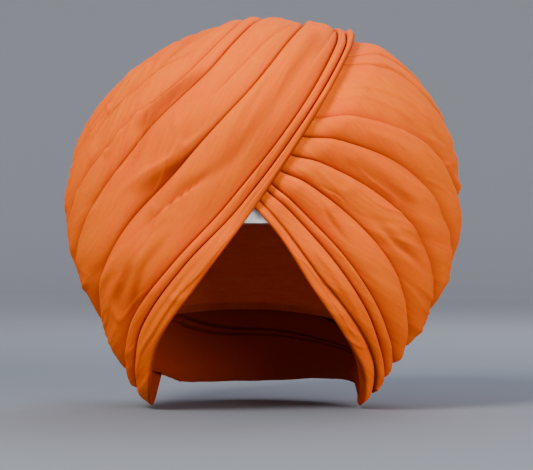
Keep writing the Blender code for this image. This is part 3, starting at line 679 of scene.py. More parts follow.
def metres_along(turn, away):
    """Cloth places in metres: along the winding and across it."""
    scale = math.radians(1.0) * sizes().half_width
    turn, away = np.broadcast_arrays(turn, away)
    return turn * scale, away * scale


def wrap_body(name, top, bottom, places, closed, material, shade, capped=False):
    """Loft a wrap of the outside cotton, and give back its rows of points with it."""
    top = np.concatenate(top, axis=1)
    bottom = np.concatenate(bottom, axis=1)
    thing = lofted(name, top, bottom, places, closed, material, shade, capped)
    return thing, np.concatenate([top, bottom], axis=1)


def lip_seats(rows, last, last_dip):
    """How deep the seat under each lip lies, by the name of the fold at the lip."""
    inner = WRAP_COLUMNS.index("inner")
    dip = WRAP_COLUMNS.index("dip")
    seats = {row[inner]: row[dip] for row in rows}
    seats[last] = last_dip
    return seats


def wind_left_wrap(row, seats, material):
    """One ring of the left group."""
    name, outer, inner, beyond, crest, dip, crest_at, roll = row
    setting = folds()
    turn = (np.arange(setting.steps_round) * 360.0 / setting.steps_round)[:, None]
    a = left_angle(outer, turn)
    b = left_angle(inner, turn)
    border = beyond is None
    share = across_shares(setting.steps_across)[None, :]
    away = a + (b - a) * share
    direction = round_pole(LEFT_POLE, turn, away)
    width = np.radians(b - a) * sizes().half_width
    room = room_share(direction)
    gap = sizes().cloth_gap
    level = swell(share, width, crest, dip if border else lap(direction, dip), crest_at, roll)
    keep = smooth_step(share * width / LIP_EASE)
    if not border:
        keep = keep * smooth_step((1.0 - share) * width / FAR_EASE)
    carved = relief(name, turn, away, keep)
    drawn = drawn_folds(turn, away, 3 * len(name)) * keep
    level = level + carved + drawn
    top = [place(direction, level * room)]
    angles = [away]
    bottom = []
    bottom_angles = []
    if not border:
        c = left_angle(beyond, turn)
        tail = b + (c - b) * TAIL_SHARE
        seat = round_pole(LEFT_POLE, turn, tail)
        top.append(place(seat, -lap(seat, dip) * room_share(seat) - TAIL_FALL))
        angles.append(tail)
        for angle in [tail] + [a + (b - a) * step for step in UNDER_SHARES]:
            spot = round_pole(LEFT_POLE, turn, angle)
            bottom.append(place(spot, left_floor(spot)))
            bottom_angles.append(angle)
    else:
        spot = round_pole(LEFT_POLE, turn, b)
        bottom.append(place(spot, -BORDER_DEPTH * room_share(spot)))
        bottom_angles.append(b)
    for step in LIP_SHARES:
        angle = a + (b - a) * step
        spot = round_pole(LEFT_POLE, turn, angle)
        bottom.append(place(spot, -lap(spot, seats[outer]) * room_share(spot) + gap))
        bottom_angles.append(angle)
    shade = painted_fold_shade(level, share, width, crest, carved, drawn)
    places = metres_along(turn, np.concatenate(angles + bottom_angles, axis=1))
    return wrap_body(name, top, bottom, places, True, material, shade)


def right_turns():
    """Stations of the right group, closer where the wraps pass under the left group."""
    count = folds().steps_right
    first = np.linspace(RIGHT_BEGIN, RIGHT_SEEN_FROM, HIDDEN_SECTIONS, endpoint=False)
    middle = np.linspace(RIGHT_SEEN_FROM, RIGHT_SEEN_TO, count, endpoint=False)
    last = np.linspace(RIGHT_SEEN_TO, RIGHT_END, HIDDEN_SECTIONS)
    return np.concatenate([first, middle, last])[:, None]


def wind_right_wrap(row, seats, material):
    """One strip of the right group, with both ends under the left group."""
    name, outer, inner, beyond, crest, dip, crest_at, roll = row
    setting = folds()
    turn = right_turns()
    a = right_angle(outer, turn)
    b = right_angle(inner, turn)
    edge = name == "right_edge_wrap"
    first = name == "right_wrap_1"
    share = across_shares(setting.steps_across)[None, :]
    away = a + (b - a) * share
    direction = round_pole(RIGHT_POLE, turn, away)
    width = np.radians(b - a) * sizes().half_width
    room = room_share(direction)
    gap = sizes().cloth_gap
    if edge:
        tucked = lap(direction, TUCK_DEPTH, True)
        level = crest - (crest + tucked) * (1.0 - share) ** EDGE_LIFT_POWER
        level = level - dip * share ** EDGE_FALL_POWER
    else:
        level = swell(share, width, crest, dip if first else lap(direction, dip, True), crest_at, roll)
    keep = smooth_step(share * width / LIP_EASE)
    if not (edge or first):
        keep = keep * smooth_step((1.0 - share) * width / FAR_EASE)
    carved = relief(name, turn, away, keep)
    drawn = drawn_folds(turn, away, RIGHT_SEED + int(a[len(a) // 2, 0])) * keep
    level = level + carved + drawn
    shade = painted_fold_shade(level, share, width, crest, carved, drawn)
    top = [place(direction, sink(direction, level) * room)]
    angles = [away]
    bottom = []
    bottom_angles = []

    def add_under(angle, depth_of):
        spot = round_pole(RIGHT_POLE, turn, angle)
        bottom.append(place(spot, depth_of(spot)))
        bottom_angles.append(angle)

    def floor(spot):
        return -sizes().wrap_depth * room_share(spot)

    def over_tuck(spot):
        return sink(spot, -lap(spot, TUCK_DEPTH, True)) * room_share(spot) + gap

    def under_tuck(spot):
        return sink(spot, -lap(spot, TUCK_DEPTH, True)) * room_share(spot) - TUCK_FALL

    def lip_seat(spot):
        return sink(spot, -lap(spot, seats.get(outer, 0.0), True)) * room_share(spot) + gap

    if edge:
        for step in EDGE_SHARES:
            add_under(a + (b - a) * step, floor)
        before = right_angle("sixth", turn)
        tuck = a + (before - a) * TAIL_SHARE
        add_under(tuck, floor)
        add_under(tuck, under_tuck)
    elif first:
        for step in SEAT_SHARES:
            add_under(a + (b - a) * step, over_tuck)
        for step in STEP_SHARES:
            add_under(a + (b - a) * step, floor)
    else:
        c = right_angle(beyond, turn)
        tail = b + (c - b) * TAIL_SHARE
        seat = round_pole(RIGHT_POLE, turn, tail)
        top.append(place(seat, sink(seat, -lap(seat, dip, True)) * room_share(seat) - TAIL_FALL))
        angles.append(tail)
        for angle in [tail] + [a + (b - a) * step for step in UNDER_SHARES]:
            add_under(angle, floor)
    if not edge:
        for step in LIP_SHARES:
            add_under(a + (b - a) * step, lip_seat)
    places = metres_along(turn, np.concatenate(angles + bottom_angles, axis=1))
    return wrap_body(name, top, bottom, places, False, material, shade)


def wind_crown_wrap(material):
    """The broad wrap over the right of the crown, from under the left group's edge."""
    turn = right_turns()
    inner = round_pole(RIGHT_POLE, turn, right_angle("first", turn))
    beyond = round_pole(RIGHT_POLE, turn, right_angle("second", turn))
    station = np.linspace(CROWN_START, CROWN_END, len(turn))[:, None]
    edge = left_angle("edge", station)
    hidden = round_pole(LEFT_POLE, station, edge - CROWN_TUCK)
    near = round_pole(LEFT_POLE, station, edge)
    over = [(between(hidden, near, share), np.zeros((len(turn), 1))) for share in CROWN_TUCK_SHARES]
    shares = across_shares(2 * folds().steps_across, 1.2)
    over += [(between(near, inner, share), np.full((len(turn), 1), share)) for share in shares]
    direction = np.concatenate([item[0] for item in over], axis=1)
    share = np.concatenate([item[1] for item in over], axis=1)
    around, away = polar_places(RIGHT_POLE, direction)
    level = CROWN_CREST - (CROWN_CREST + lap(direction, CROWN_DIP, True)) * share ** CROWN_FALL_POWER
    keep = smooth_step((1.0 - share) / 0.03)
    carved = relief("right_crown_wrap", around, away, keep, CROWN_SOFTER)
    drawn = drawn_folds(around, away, CROWN_SEED) * keep * smooth_step((away - 10.0) / 30.0)
    level = level + carved + drawn
    shade = painted_fold_shade(level, share, CROWN_WIDTH, CROWN_CREST, carved, drawn)
    tail = between(inner, beyond, TAIL_SHARE)
    sunk = sink(tail, -lap(tail, CROWN_DIP, True)) * room_share(tail) - TAIL_FALL
    top = [place(direction, sink(direction, level) * room_share(direction)), place(tail, sunk)]
    lower = [tail] + [between(near, inner, share) for share in CROWN_UNDER_SHARES] + [hidden]
    bottom = [place(spot, -sizes().wrap_depth * room_share(spot)) for spot in lower]
    turns, aways = polar_places(RIGHT_POLE, np.concatenate([direction, tail] + lower, axis=1))
    places = metres_along(turns * np.sin(np.radians(aways)), aways)
    return wrap_body("right_crown_wrap", top, bottom, places, False, material, shade)


def wind_crown_cap(material):
    """The last turn at the left group's pole: a padded disc tucked under the next wrap."""
    count = folds().steps_round
    turn = (np.arange(count) * 360.0 / count)[:, None]
    rim = left_angle("top", turn)
    tail = rim + (left_angle("high", turn) - rim) * TAIL_SHARE
    share = np.linspace(POLE_SHARE, 1.0, CAP_RINGS)[None, :]
    away = rim * share
    keep = smooth_step((1.0 - share) / 0.04) * smooth_step((share - 0.12) / 0.5)
    level = CAP_CREST - (CAP_CREST + CAP_DIP) * share ** CAP_FALL_POWER
    carved = relief("left_crown_cap", turn, away, keep)
    drawn = drawn_folds(turn, away, CAP_SEED) * keep
    level = level + carved + drawn
    shade = painted_fold_shade(level, share, CAP_WIDTH, CAP_CREST, carved, drawn)
    top = [place(round_pole(LEFT_POLE, turn, away), level)]
    top.append(place(round_pole(LEFT_POLE, turn, tail), -CAP_DIP - TAIL_FALL + 0 * turn))
    below = [tail] + [rim * step for step in (*CAP_UNDER_SHARES, POLE_SHARE)]
    depth = -sizes().wrap_depth
    bottom = [place(round_pole(LEFT_POLE, turn, angle), depth + 0 * turn) for angle in below]
    places = metres_along(turn, np.concatenate([away, tail] + below, axis=1))
    return wrap_body("left_crown_cap", top, bottom, places, True, material, shade, True)


def wind_inner_turns(material):
    """The first turns, wound thick: the wall of the hollow."""
    size = sizes()
    plan = (np.arange(CORE_SIDES) * 360.0 / CORE_SIDES - 180.0)[:, None]
    floor = read_curve(CORE_PLAN, CORE_FLOOR, plan)
    share = np.linspace(POLE_SHARE, 1.0, CORE_RINGS)[None, :]
    elevation = 90.0 + (floor - 90.0) * share

    def skin(elevation, outside):
        a = np.radians(plan)
        e = np.radians(elevation)
        ray = np.broadcast_arrays(np.cos(a) * np.cos(e), np.sin(a) * np.cos(e), np.sin(e))
        ray, radius = outer_radius(np.stack(ray, -1))
        inside = head_radius(ray) + size.head_clearance + size.band_thickness + CORE_WALL
        if outside:
            reach = np.maximum(radius - CORE_DEPTH, inside + CORE_WALL)
        else:
            height = inside * ray[..., 2]
            lines = height + 0.010 * np.sin(a) + 0.006 * np.cos(2 * a)
            pleat = np.mod(lines / size.inner_pleat, 1.0)
            step = smooth_step(pleat / 0.10) * (1.0 - pleat)
            steep = smooth_step((floor + 2.0 - elevation + 60.0) / 40.0)
            reach = inside + TURN_STEP * step * smooth_step((70.0 - elevation) / 20.0) * steep
            reach = reach + TURN_ROUGH * cloth_noise(plan / 15.0, elevation / 3.0, CORE_SEED, 24)
        return ray * reach[..., None] + np.array([0.0, 0.0, size.centre_height])

    top = skin(elevation, True)
    bottom = skin(elevation[:, ::-1], False)
    places = metres_along(plan, np.concatenate([elevation, elevation[:, ::-1]], axis=1))
    return lofted("inner_turns", top, bottom, places, True, material, None, True)


def wind_under_band(material):
    """The white band at the brow, with a turned hem along its lower edge."""
    size = sizes()
    plan = np.radians(np.arange(BAND_SIDES) * 360.0 / BAND_SIDES)[:, None]
    low = size.band_lower
    high = size.band_upper
    hem = low + np.array(HEM_HEIGHTS)
    heights = np.concatenate([hem, np.linspace(low + ABOVE_HEM, high, BAND_RINGS)])[None, :]
    lean = np.sqrt(np.maximum(0.0, 1.0 - (np.maximum(heights, 0.0) / size.head_crown_rise) ** 2))
    rise = heights - low
    stitches = STITCH_DEPTH * np.exp(-((rise - STITCH_HEIGHT) / STITCH_WIDTH) ** 2)
    puff = HEM_PUFF * smooth_step(rise / 0.0008) - stitches
    ripple = BAND_RIPPLE * cloth_noise(np.degrees(plan) / 5.0, rise / 0.003, BAND_SEED, 72)

    def skin(out):
        wide = size.head_half_width * lean + size.head_clearance / 2 + out
        deep = size.head_half_length * lean + size.head_clearance / 2 + out
        level = size.centre_height + heights + 0 * plan
        return np.stack([np.cos(plan) * wide, np.sin(plan) * deep, level], -1)

    top = skin(size.band_thickness + puff + ripple)
    bottom = skin(0 * plan * heights)[:, ::-1]
    along = plan * size.head_half_width
    up = np.concatenate([heights, heights[:, ::-1]], axis=1)
    places = np.broadcast_arrays(along, up)
    thing = lofted("under_band", top, bottom, places, True, material)
    return thing, np.concatenate([top, bottom], axis=1)


def link(tree, start, end):
    """Join two sockets."""
    tree.links.new(start, end)


def number_node(tree, operation, first, second=None, third=None):
    """A Math node with plain or linked inputs."""
    node = tree.nodes.new("ShaderNodeMath")
    node.operation = operation
    for socket, value in zip(node.inputs, (first, second, third)):
        if value is None:
            continue
        if isinstance(value, (int, float)):
            socket.default_value = value
        else:
            link(tree, value, socket)
    return node.outputs[0]


def stretched_noise(tree, along, across, detail, seed):
    """Noise drawn out along the cloth: along and across are periods in metres."""
    place_node = tree.nodes.new("ShaderNodeUVMap")
    place_node.uv_map = "cloth"
    mapping = tree.nodes.new("ShaderNodeMapping")
    mapping.inputs["Scale"].default_value = (1.0 / along, 1.0 / across, 1.0)
    mapping.inputs["Location"].default_value = (seed * 1.7, seed * 2.3, seed * 0.9)
    link(tree, place_node.outputs["UV"], mapping.inputs["Vector"])
    noise = tree.nodes.new("ShaderNodeTexNoise")
    noise.inputs["Scale"].default_value = 1.0
    noise.inputs["Detail"].default_value = detail
    noise.inputs["Roughness"].default_value = 0.55
    link(tree, mapping.outputs["Vector"], noise.inputs["Vector"])
    return noise.outputs["Fac"]


def woven_cotton(name, light, dark, deep, roughness, sheen, bump):
    """Plain woven cotton: drawn-out slubs, threads both ways, and soft patches of colour, with painted shade
    mixed into the creases.
    """
    look = bpy.context.scene.pagri_look
    material = bpy.data.materials.new(name)
    material.use_nodes = True
    tree = material.node_tree
    shader = tree.nodes["Principled BSDF"]
    shader.inputs["Roughness"].default_value = roughness
    shader.inputs["Sheen Weight"].default_value = sheen
    shader.inputs["Sheen Roughness"].default_value = 0.5
    shader.inputs["Sheen Tint"].default_value = (*light, 1.0)
    shader.inputs["Specular IOR Level"].default_value = COTTON_SPECULAR
    slub = stretched_noise(tree, look.slub_length, look.slub_width, 3.0, 1)
    thread = stretched_noise(tree, look.slub_length * 0.25, look.thread_width, 2.0, 2)
    cross = stretched_noise(tree, look.thread_width * 1.2, look.slub_length * 0.10, 1.0, 3)
    patch = stretched_noise(tree, 0.060, 0.022, 2.0, 4)
    of_slub, of_thread, of_cross, of_patch = COLOUR_SHARES
    mixed = number_node(tree, "MULTIPLY", thread, of_thread)
    mixed = number_node(tree, "MULTIPLY_ADD", slub, of_slub, mixed)
    mixed = number_node(tree, "MULTIPLY_ADD", cross, of_cross, mixed)
    mixed = number_node(tree, "MULTIPLY_ADD", patch, of_patch, mixed)
    ramp = tree.nodes.new("ShaderNodeMapRange")
    ramp.inputs["From Min"].default_value = COLOUR_RANGE[0]
    ramp.inputs["From Max"].default_value = COLOUR_RANGE[1]
    link(tree, mixed, ramp.inputs["Value"])
    colour = tree.nodes.new("ShaderNodeMix")
    colour.data_type = "RGBA"
    colour.inputs[6].default_value = (*dark, 1.0)
    colour.inputs[7].default_value = (*light, 1.0)
    link(tree, ramp.outputs["Result"], colour.inputs[0])
    # Painted shade: the point attribute mixes the deep colour into the creases, pleat valleys and under the
    # lips
    painted_shade = tree.nodes.new("ShaderNodeAttribute")
    painted_shade.attribute_name = "fold_depth"
    painted_shade_mix = tree.nodes.new("ShaderNodeMix")
    painted_shade_mix.data_type = "RGBA"
    painted_shade_mix.inputs[7].default_value = (*deep, 1.0)
    link(tree, number_node(tree, "MULTIPLY", painted_shade.outputs["Fac"], look.painted_fold_shade), painted_shade_mix.inputs[0])
    link(tree, colour.outputs[2], painted_shade_mix.inputs[6])
    link(tree, painted_shade_mix.outputs[2], shader.inputs["Base Color"])
    of_slub, of_thread, of_cross = HEIGHT_SHARES
    height = number_node(tree, "MULTIPLY", thread, of_thread)
    height = number_node(tree, "MULTIPLY_ADD", slub, of_slub, height)
    height = number_node(tree, "MULTIPLY_ADD", cross, of_cross, height)
    bumps = tree.nodes.new("ShaderNodeBump")
    bumps.inputs["Strength"].default_value = bump
    bumps.inputs["Distance"].default_value = look.thread_height
    link(tree, height, bumps.inputs["Height"])
    link(tree, bumps.outputs["Normal"], shader.inputs["Normal"])
    return material


def orange_cotton():
    """The outside cotton, made once and shared by the wraps."""
    look = bpy.context.scene.pagri_look
    found = bpy.data.materials.get("orange_cotton_cloth")
    if found:
        return found
    # The deep colour is the painted shade of the creases
    light, dark, deep = tuple(look.orange_light), tuple(look.orange_dark), tuple(look.orange_painted_shade)
    return woven_cotton("orange_cotton_cloth", light, dark, deep, look.roughness, look.sheen, 0.55)


class PagriSizes(bpy.types.PropertyGroup):
    """Sizes of the outer form, the hollow and the band."""

    half_width: bpy.props.FloatProperty(
        name="Half width", description="Half width of the outer form", default=0.1395, unit="LENGTH")
    half_depth: bpy.props.FloatProperty(
        name="Half depth", description="Half depth of the outer form", default=0.1350, unit="LENGTH")
    crown_rise: bpy.props.FloatProperty(
        name="Crown rise", description="Height of the crown over the centre", default=0.1380, unit="LENGTH")
    centre_height: bpy.props.FloatProperty(
        name="Centre height", description="Height of the form's centre over the tips",
        default=0.1330, unit="LENGTH")
    head_half_width: bpy.props.FloatProperty(
        name="Hollow half width", description="Half width of the hollow", default=0.0775, unit="LENGTH")
    head_half_length: bpy.props.FloatProperty(
        name="Hollow half length", description="Half length of the hollow", default=0.0975, unit="LENGTH")
    head_crown_rise: bpy.props.FloatProperty(
        name="Hollow rise", description="Height of the hollow over the centre",
        default=0.0740, unit="LENGTH")
    band_thickness: bpy.props.FloatProperty(
        name="Band thickness", description="Thickness of the white band", default=0.0020, unit="LENGTH")
    band_lower: bpy.props.FloatProperty(
        name="Band lower edge", description="Lower edge of the band from the centre",
        default=-0.0040, unit="LENGTH")
    band_upper: bpy.props.FloatProperty(
        name="Band upper edge", description="Upper edge of the band from the centre",
        default=0.0240, unit="LENGTH")
    wrap_depth: bpy.props.FloatProperty(
        name="Wrap depth", description="Depth of a padded wrap under the outer form",
        default=0.0109, unit="LENGTH")
    cloth_gap: bpy.props.FloatProperty(
        name="Cloth gap", description="Gap kept between neighbouring wraps", default=0.0005, unit="LENGTH")
    head_clearance: bpy.props.FloatProperty(
        name="Hollow clearance", description="Gap kept off the hollow's form", default=0.0008, unit="LENGTH")
    inner_pleat: bpy.props.FloatProperty(
        name="Inner pleat", description="Height of each turn seen inside the hollow",
        default=0.019, unit="LENGTH")


class PagriFolds(bpy.types.PropertyGroup):
    """How finely the cloth is wound and how lively its folds are."""

    steps_round: bpy.props.IntProperty(
        name="Steps round", description="Sections round the left group's rings", default=520)
    steps_right: bpy.props.IntProperty(
        name="Steps along", description="Sections along the right group's wraps", default=260)
    steps_across: bpy.props.IntProperty(
        name="Steps across", description="Points across a wrap's top", default=44)
    press_reach: bpy.props.FloatProperty(
        name="Press reach", description="How far the left group's edge presses the right group",
        default=0.020, unit="LENGTH")
    lip_round: bpy.props.FloatProperty(
        name="Lip round", description="Width over which a lip turns down", default=0.0013, unit="LENGTH")
    lip_drop: bpy.props.FloatProperty(
        name="Lip drop", description="How far a lip turns down", default=0.0011, unit="LENGTH")
    pleat_edge: bpy.props.FloatProperty(
        name="Pleat edge", description="Width of a pleat's step", default=0.0013, unit="LENGTH")
    soft_fold: bpy.props.FloatProperty(
        name="Soft folds", description="Height of the broad soft folds", default=0.00075, unit="LENGTH")
    crease: bpy.props.FloatProperty(
        name="Creases", description="Height of the long thin creases", default=0.00100, unit="LENGTH")
    strain_line: bpy.props.FloatProperty(
        name="Strain lines", description="Height of the fine drawn lines", default=0.00020, unit="LENGTH")


class PagriLook(bpy.types.PropertyGroup):
    """Colours and weave of the cotton, and the painted shade of its creases."""

    orange_light: bpy.props.FloatVectorProperty(
        name="Light orange", description="Lighter colour of the cloth", subtype="COLOR", size=3,
        default=(1.00, 0.182, 0.000))
    orange_dark: bpy.props.FloatVectorProperty(
        name="Dark orange", description="Darker colour of the cloth", subtype="COLOR", size=3,
        # Painted shade: the dark colour mixed into the creases and under the lips
        default=(0.97, 0.106, 0.000))
    orange_painted_shade: bpy.props.FloatVectorProperty(
        name="Deep orange", description="Colour held in the creases", subtype="COLOR", size=3,
        default=(0.22, 0.012, 0.001))
    # How strongly the painted shade darkens the creases
    painted_fold_shade: bpy.props.FloatProperty(
        name="Fold shade", description="How strongly the creases take the deep colour",
        default=0.85, subtype="FACTOR")
    white_light: bpy.props.FloatVectorProperty(
        name="White", description="Colour of the band", subtype="COLOR", size=3, default=(0.95, 0.96, 1.00))
    roughness: bpy.props.FloatProperty(
        name="Roughness", description="Roughness of the cotton", default=0.88, subtype="FACTOR")
    sheen: bpy.props.FloatProperty(
        name="Sheen", description="Soft light on the cotton's fibres", default=0.0, subtype="FACTOR")
    slub_length: bpy.props.FloatProperty(
        name="Slub length", description="Length of the thick places in the yarn",
        default=0.026, unit="LENGTH")
    slub_width: bpy.props.FloatProperty(
        name="Slub width", description="Width of the thick places in the yarn",
        default=0.0021, unit="LENGTH")
    thread_width: bpy.props.FloatProperty(
        name="Thread width", description="Width of a thread", default=0.00085, unit="LENGTH")
    thread_height: bpy.props.FloatProperty(
        name="Thread height", description="Height of the threads", default=0.00022, unit="LENGTH")


class PagriStudio(bpy.types.PropertyGroup):
    """Camera, floor and lights."""

    camera_distance: bpy.props.FloatProperty(
        name="Camera distance", description="From the camera to the middle", default=1.6, unit="LENGTH")
    camera_side: bpy.props.FloatProperty(
        name="Camera side", description="Camera's place along X", default=0.0067, unit="LENGTH")
    camera_height: bpy.props.FloatProperty(
        name="Camera height", description="Camera's height over the tips", default=0.121, unit="LENGTH")
    camera_lens: bpy.props.FloatProperty(
        name="Lens", description="Focal length in millimetres", default=152.8)
    floor_height: bpy.props.FloatProperty(
        name="Floor height", description="Height of the floor", default=-0.0015, unit="LENGTH")
    # Painted shade of the paper at the middle, where the lights fall strongest
    floor_colour: bpy.props.FloatVectorProperty(
        name="Floor", description="Colour of the floor", subtype="COLOR", size=3,
        default=(0.21, 0.235, 0.30))
    wall_colour: bpy.props.FloatVectorProperty(
        name="Wall", description="Colour of the wall behind", subtype="COLOR", size=3,
        default=(0.58, 0.60, 0.66))
    key_power: bpy.props.FloatProperty(
        name="Key light", description="Power of the main light in watts", default=38.0)
    fill_power: bpy.props.FloatProperty(
        name="Fill light", description="Power of the fill light in watts", default=29.0)
    top_power: bpy.props.FloatProperty(
        name="Top light", description="Power of the top light in watts", default=14.0)
    world_strength: bpy.props.FloatProperty(
        name="World light", description="Strength of the light all round", default=0.46)


class PAGRI_OT_left_wraps(bpy.types.Operator):
    """Wind the left group's six rings"""

    bl_idname = "pagri.left_wraps"
    bl_label = "Wind left wraps"

    def execute(self, context):
        seats = lip_seats(LEFT_WRAPS, "top", CAP_DIP)
        for row in LEFT_WRAPS:
            thing, points = wind_left_wrap(row, seats, orange_cotton())
            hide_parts(row[0])
        return {"FINISHED"}


class PAGRI_OT_crown_cap(bpy.types.Operator):
    """Close the left group at its pole"""

    bl_idname = "pagri.crown_cap"
    bl_label = "Close left crown"

    def execute(self, context):
        thing, points = wind_crown_cap(orange_cotton())
        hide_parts("left_crown_cap")
        return {"FINISHED"}


class PAGRI_OT_right_wraps(bpy.types.Operator):
    """Wind the right group's strips"""

    bl_idname = "pagri.right_wraps"
    bl_label = "Wind right wraps"

    def execute(self, context):
        seats = lip_seats(RIGHT_WRAPS, "first", CROWN_DIP)
        for row in RIGHT_WRAPS:
            thing, points = wind_right_wrap(row, seats, orange_cotton())
            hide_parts(row[0])
        return {"FINISHED"}


class PAGRI_OT_crown_wrap(bpy.types.Operator):
    """Lay the broad wrap over the right of the crown"""

    bl_idname = "pagri.crown_wrap"
    bl_label = "Lay crown wrap"

    def execute(self, context):
        thing, points = wind_crown_wrap(orange_cotton())
        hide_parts("right_crown_wrap")
        return {"FINISHED"}


class PAGRI_OT_inner_turns(bpy.types.Operator):
    """Wind the first turns that line the hollow"""

    bl_idname = "pagri.inner_turns"
    bl_label = "Wind inner turns"

    def execute(self, context):
        look = context.scene.pagri_look
        # Painted shade: the lining is a darker copy of the outside cotton, for the hollow's shaded inside
        light = tuple(0.90 * value for value in look.orange_light)
        dark = tuple(0.88 * value for value in look.orange_dark)
        material = woven_cotton("orange_cotton_lining", light, dark, dark, look.roughness, look.sheen, 0.5)
        thing = wind_inner_turns(material)
        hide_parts("inner_turns")
        return {"FINISHED"}


class PAGRI_OT_under_band(bpy.types.Operator):
    """Wind the white band at the brow"""

    bl_idname = "pagri.under_band"
    bl_label = "Wind under band"

    def execute(self, context):
        look = context.scene.pagri_look
        light = tuple(look.white_light)
        dark = tuple(0.94 * value for value in light)
        material = woven_cotton("white_cotton_cloth", light, dark, dark, 0.85, 0.1, 0.35)
        thing, points = wind_under_band(material)
        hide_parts("under_band")
        return {"FINISHED"}


def area_light(name, place_m, aim, size_m, power, colour):
    """A soft square light aimed at a point."""
    light = bpy.data.lights.new(name, "AREA")
    light.shape = "SQUARE"
    light.size = size_m
    light.energy = power
    light.color = colour
    lamp = bpy.data.objects.new(name, light)
    bpy.context.scene.collection.objects.link(lamp)
    lamp.location = place_m
    gaze = np.array(aim, float) - np.array(place_m, float)
    flat = math.hypot(gaze[0], gaze[1])
    lamp.rotation_euler = (math.atan2(flat, -gaze[2]), 0.0, math.atan2(-gaze[0], gaze[1]))


def studio_paper(floor_colour, wall_colour):
    """Matt paper with painted shade: darker near the middle, where the lights fall strongest, and paler away
    from them, so that floor and wall look alike.
    """
    material = bpy.data.materials.new("studio_paper")
    material.use_nodes = True
    tree = material.node_tree
    shader = tree.nodes["Principled BSDF"]
    shader.inputs["Roughness"].default_value = 0.95
    shader.inputs["Specular IOR Level"].default_value = 0.1
    where = tree.nodes.new("ShaderNodeTexCoord")
    reach = tree.nodes.new("ShaderNodeVectorMath")
    reach.operation = "LENGTH"
    link(tree, where.outputs["Object"], reach.inputs[0])
    share = tree.nodes.new("ShaderNodeMapRange")
    share.inputs["From Min"].default_value = 0.5
    share.inputs["From Max"].default_value = 3.0
    link(tree, reach.outputs["Value"], share.inputs["Value"])
    # Painted shade: the dark floor colour at the middle fades to the paler wall colour far off, to even out
    # the light
    colour = tree.nodes.new("ShaderNodeMix")
    colour.data_type = "RGBA"
    colour.inputs[6].default_value = (*floor_colour, 1.0)
    colour.inputs[7].default_value = (*wall_colour, 1.0)
    link(tree, share.outputs["Result"], colour.inputs[0])
    link(tree, colour.outputs[2], shader.inputs["Base Color"])
    return material


def paper_dish(floor_height, material):
    """A round sheet of paper, flat under the pagri and curved up to a wall all round."""
    profile = [(0.02, 0.0), (PAPER_FLAT, 0.0)]
    for step in range(1, CURVE_STEPS + 1):
        angle = math.radians(90.0 * step / CURVE_STEPS)
        reach = PAPER_FLAT + PAPER_CURVE * math.sin(angle)
        profile.append((reach, PAPER_CURVE * (1.0 - math.cos(angle))))
    profile.append((PAPER_FLAT + PAPER_CURVE, PAPER_WALL))
    turns = [math.radians(side * 360.0 / PAPER_SIDES) for side in range(PAPER_SIDES)]
    mesh = bpy.data.meshes.new("studio_sweep")
    body = bmesh.new()
    rings = []
    for reach, rise in profile:
        height = rise + floor_height
        rings.append([body.verts.new((reach * math.cos(t), reach * math.sin(t), height)) for t in turns])
    body.faces.new(rings[0])
    for inner, outer in zip(rings, rings[1:]):
        for k in range(PAPER_SIDES):
            after = (k + 1) % PAPER_SIDES
            body.faces.new((inner[k], outer[k], outer[after], inner[after]))
    body.to_mesh(mesh)
    body.free()
    mesh.shade_smooth()
    mesh.materials.append(material)
    sweep = bpy.data.objects.new("studio_sweep", mesh)
    bpy.context.scene.collection.objects.link(sweep)
    return sweep


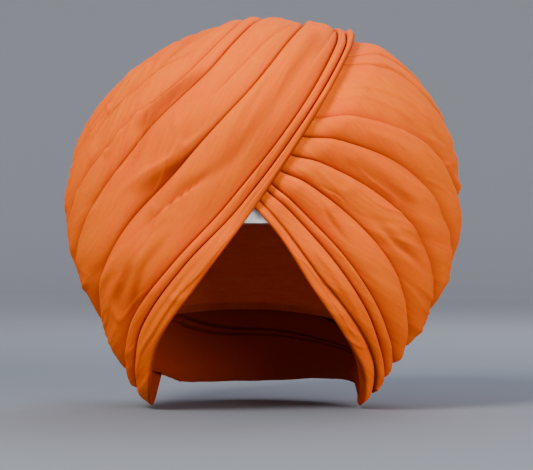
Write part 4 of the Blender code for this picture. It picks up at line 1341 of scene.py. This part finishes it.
class PAGRI_OT_studio(bpy.types.Operator):
    """Set the floor, the backdrop, the lights and the camera"""

    bl_idname = "pagri.studio"
    bl_label = "Set studio"

    def execute(self, context):
        studio = context.scene.pagri_studio
        middle = (0.0, 0.0, sizes().centre_height)
        material = studio_paper(tuple(studio.floor_colour), tuple(studio.wall_colour))
        sweep = paper_dish(studio.floor_height, material)
        for name, place_m, size_m, power, colour in LIGHTS:
            area_light(name, place_m, middle, size_m, getattr(studio, power), colour)
        world = bpy.data.worlds.new("studio_air")
        world.use_nodes = True
        air = world.node_tree.nodes["Background"]
        air.inputs["Color"].default_value = (*AIR_COLOUR, 1.0)
        air.inputs["Strength"].default_value = studio.world_strength
        context.scene.world = world
        lens = bpy.data.cameras.new("camera")
        lens.lens = studio.camera_lens
        lens.sensor_width = SENSOR_WIDTH
        camera = bpy.data.objects.new("camera", lens)
        context.scene.collection.objects.link(camera)
        camera.location = (studio.camera_side, -studio.camera_distance, studio.camera_height)
        camera.rotation_euler = (math.radians(90.0), 0.0, 0.0)
        context.scene.camera = camera
        return {"FINISHED"}


OPERATORS = (
    PAGRI_OT_studio,
    PAGRI_OT_under_band,
    PAGRI_OT_inner_turns,
    PAGRI_OT_left_wraps,
    PAGRI_OT_crown_cap,
    PAGRI_OT_right_wraps,
    PAGRI_OT_crown_wrap,
)
SETTINGS = (
    ("pagri_sizes", PagriSizes),
    ("pagri_folds", PagriFolds),
    ("pagri_look", PagriLook),
    ("pagri_studio", PagriStudio),
)


class PAGRI_PT_panel(bpy.types.Panel):
    """Sizes, looks and steps of the pagri"""

    bl_idname = "PAGRI_PT_panel"
    bl_label = "Tied Pagri"
    bl_space_type = "VIEW_3D"
    bl_region_type = "UI"
    bl_category = "Pagri"

    def draw(self, context):
        layout = self.layout
        for name, group in SETTINGS:
            box = layout.box()
            for prop in group.__annotations__:
                box.prop(getattr(context.scene, name), prop)
        for operator in OPERATORS:
            layout.operator(operator.bl_idname)


def register():
    """Register the settings, the steps and the panel."""
    for name, group in SETTINGS:
        bpy.utils.register_class(group)
        setattr(bpy.types.Scene, name, bpy.props.PointerProperty(type=group))
    for operator in OPERATORS:
        bpy.utils.register_class(operator)
    bpy.utils.register_class(PAGRI_PT_panel)


def unregister():
    """Remove the panel, the steps and the settings."""
    bpy.utils.unregister_class(PAGRI_PT_panel)
    for operator in reversed(OPERATORS):
        bpy.utils.unregister_class(operator)
    for name, group in reversed(SETTINGS):
        delattr(bpy.types.Scene, name)
        bpy.utils.unregister_class(group)


def main():
    """Wind the whole pagri in order."""
    register()
    bpy.ops.pagri.studio()
    bpy.ops.pagri.under_band()
    bpy.ops.pagri.inner_turns()
    bpy.ops.pagri.left_wraps()
    bpy.ops.pagri.crown_cap()
    bpy.ops.pagri.right_wraps()
    bpy.ops.pagri.crown_wrap()


if __name__ == "__main__":
    main()
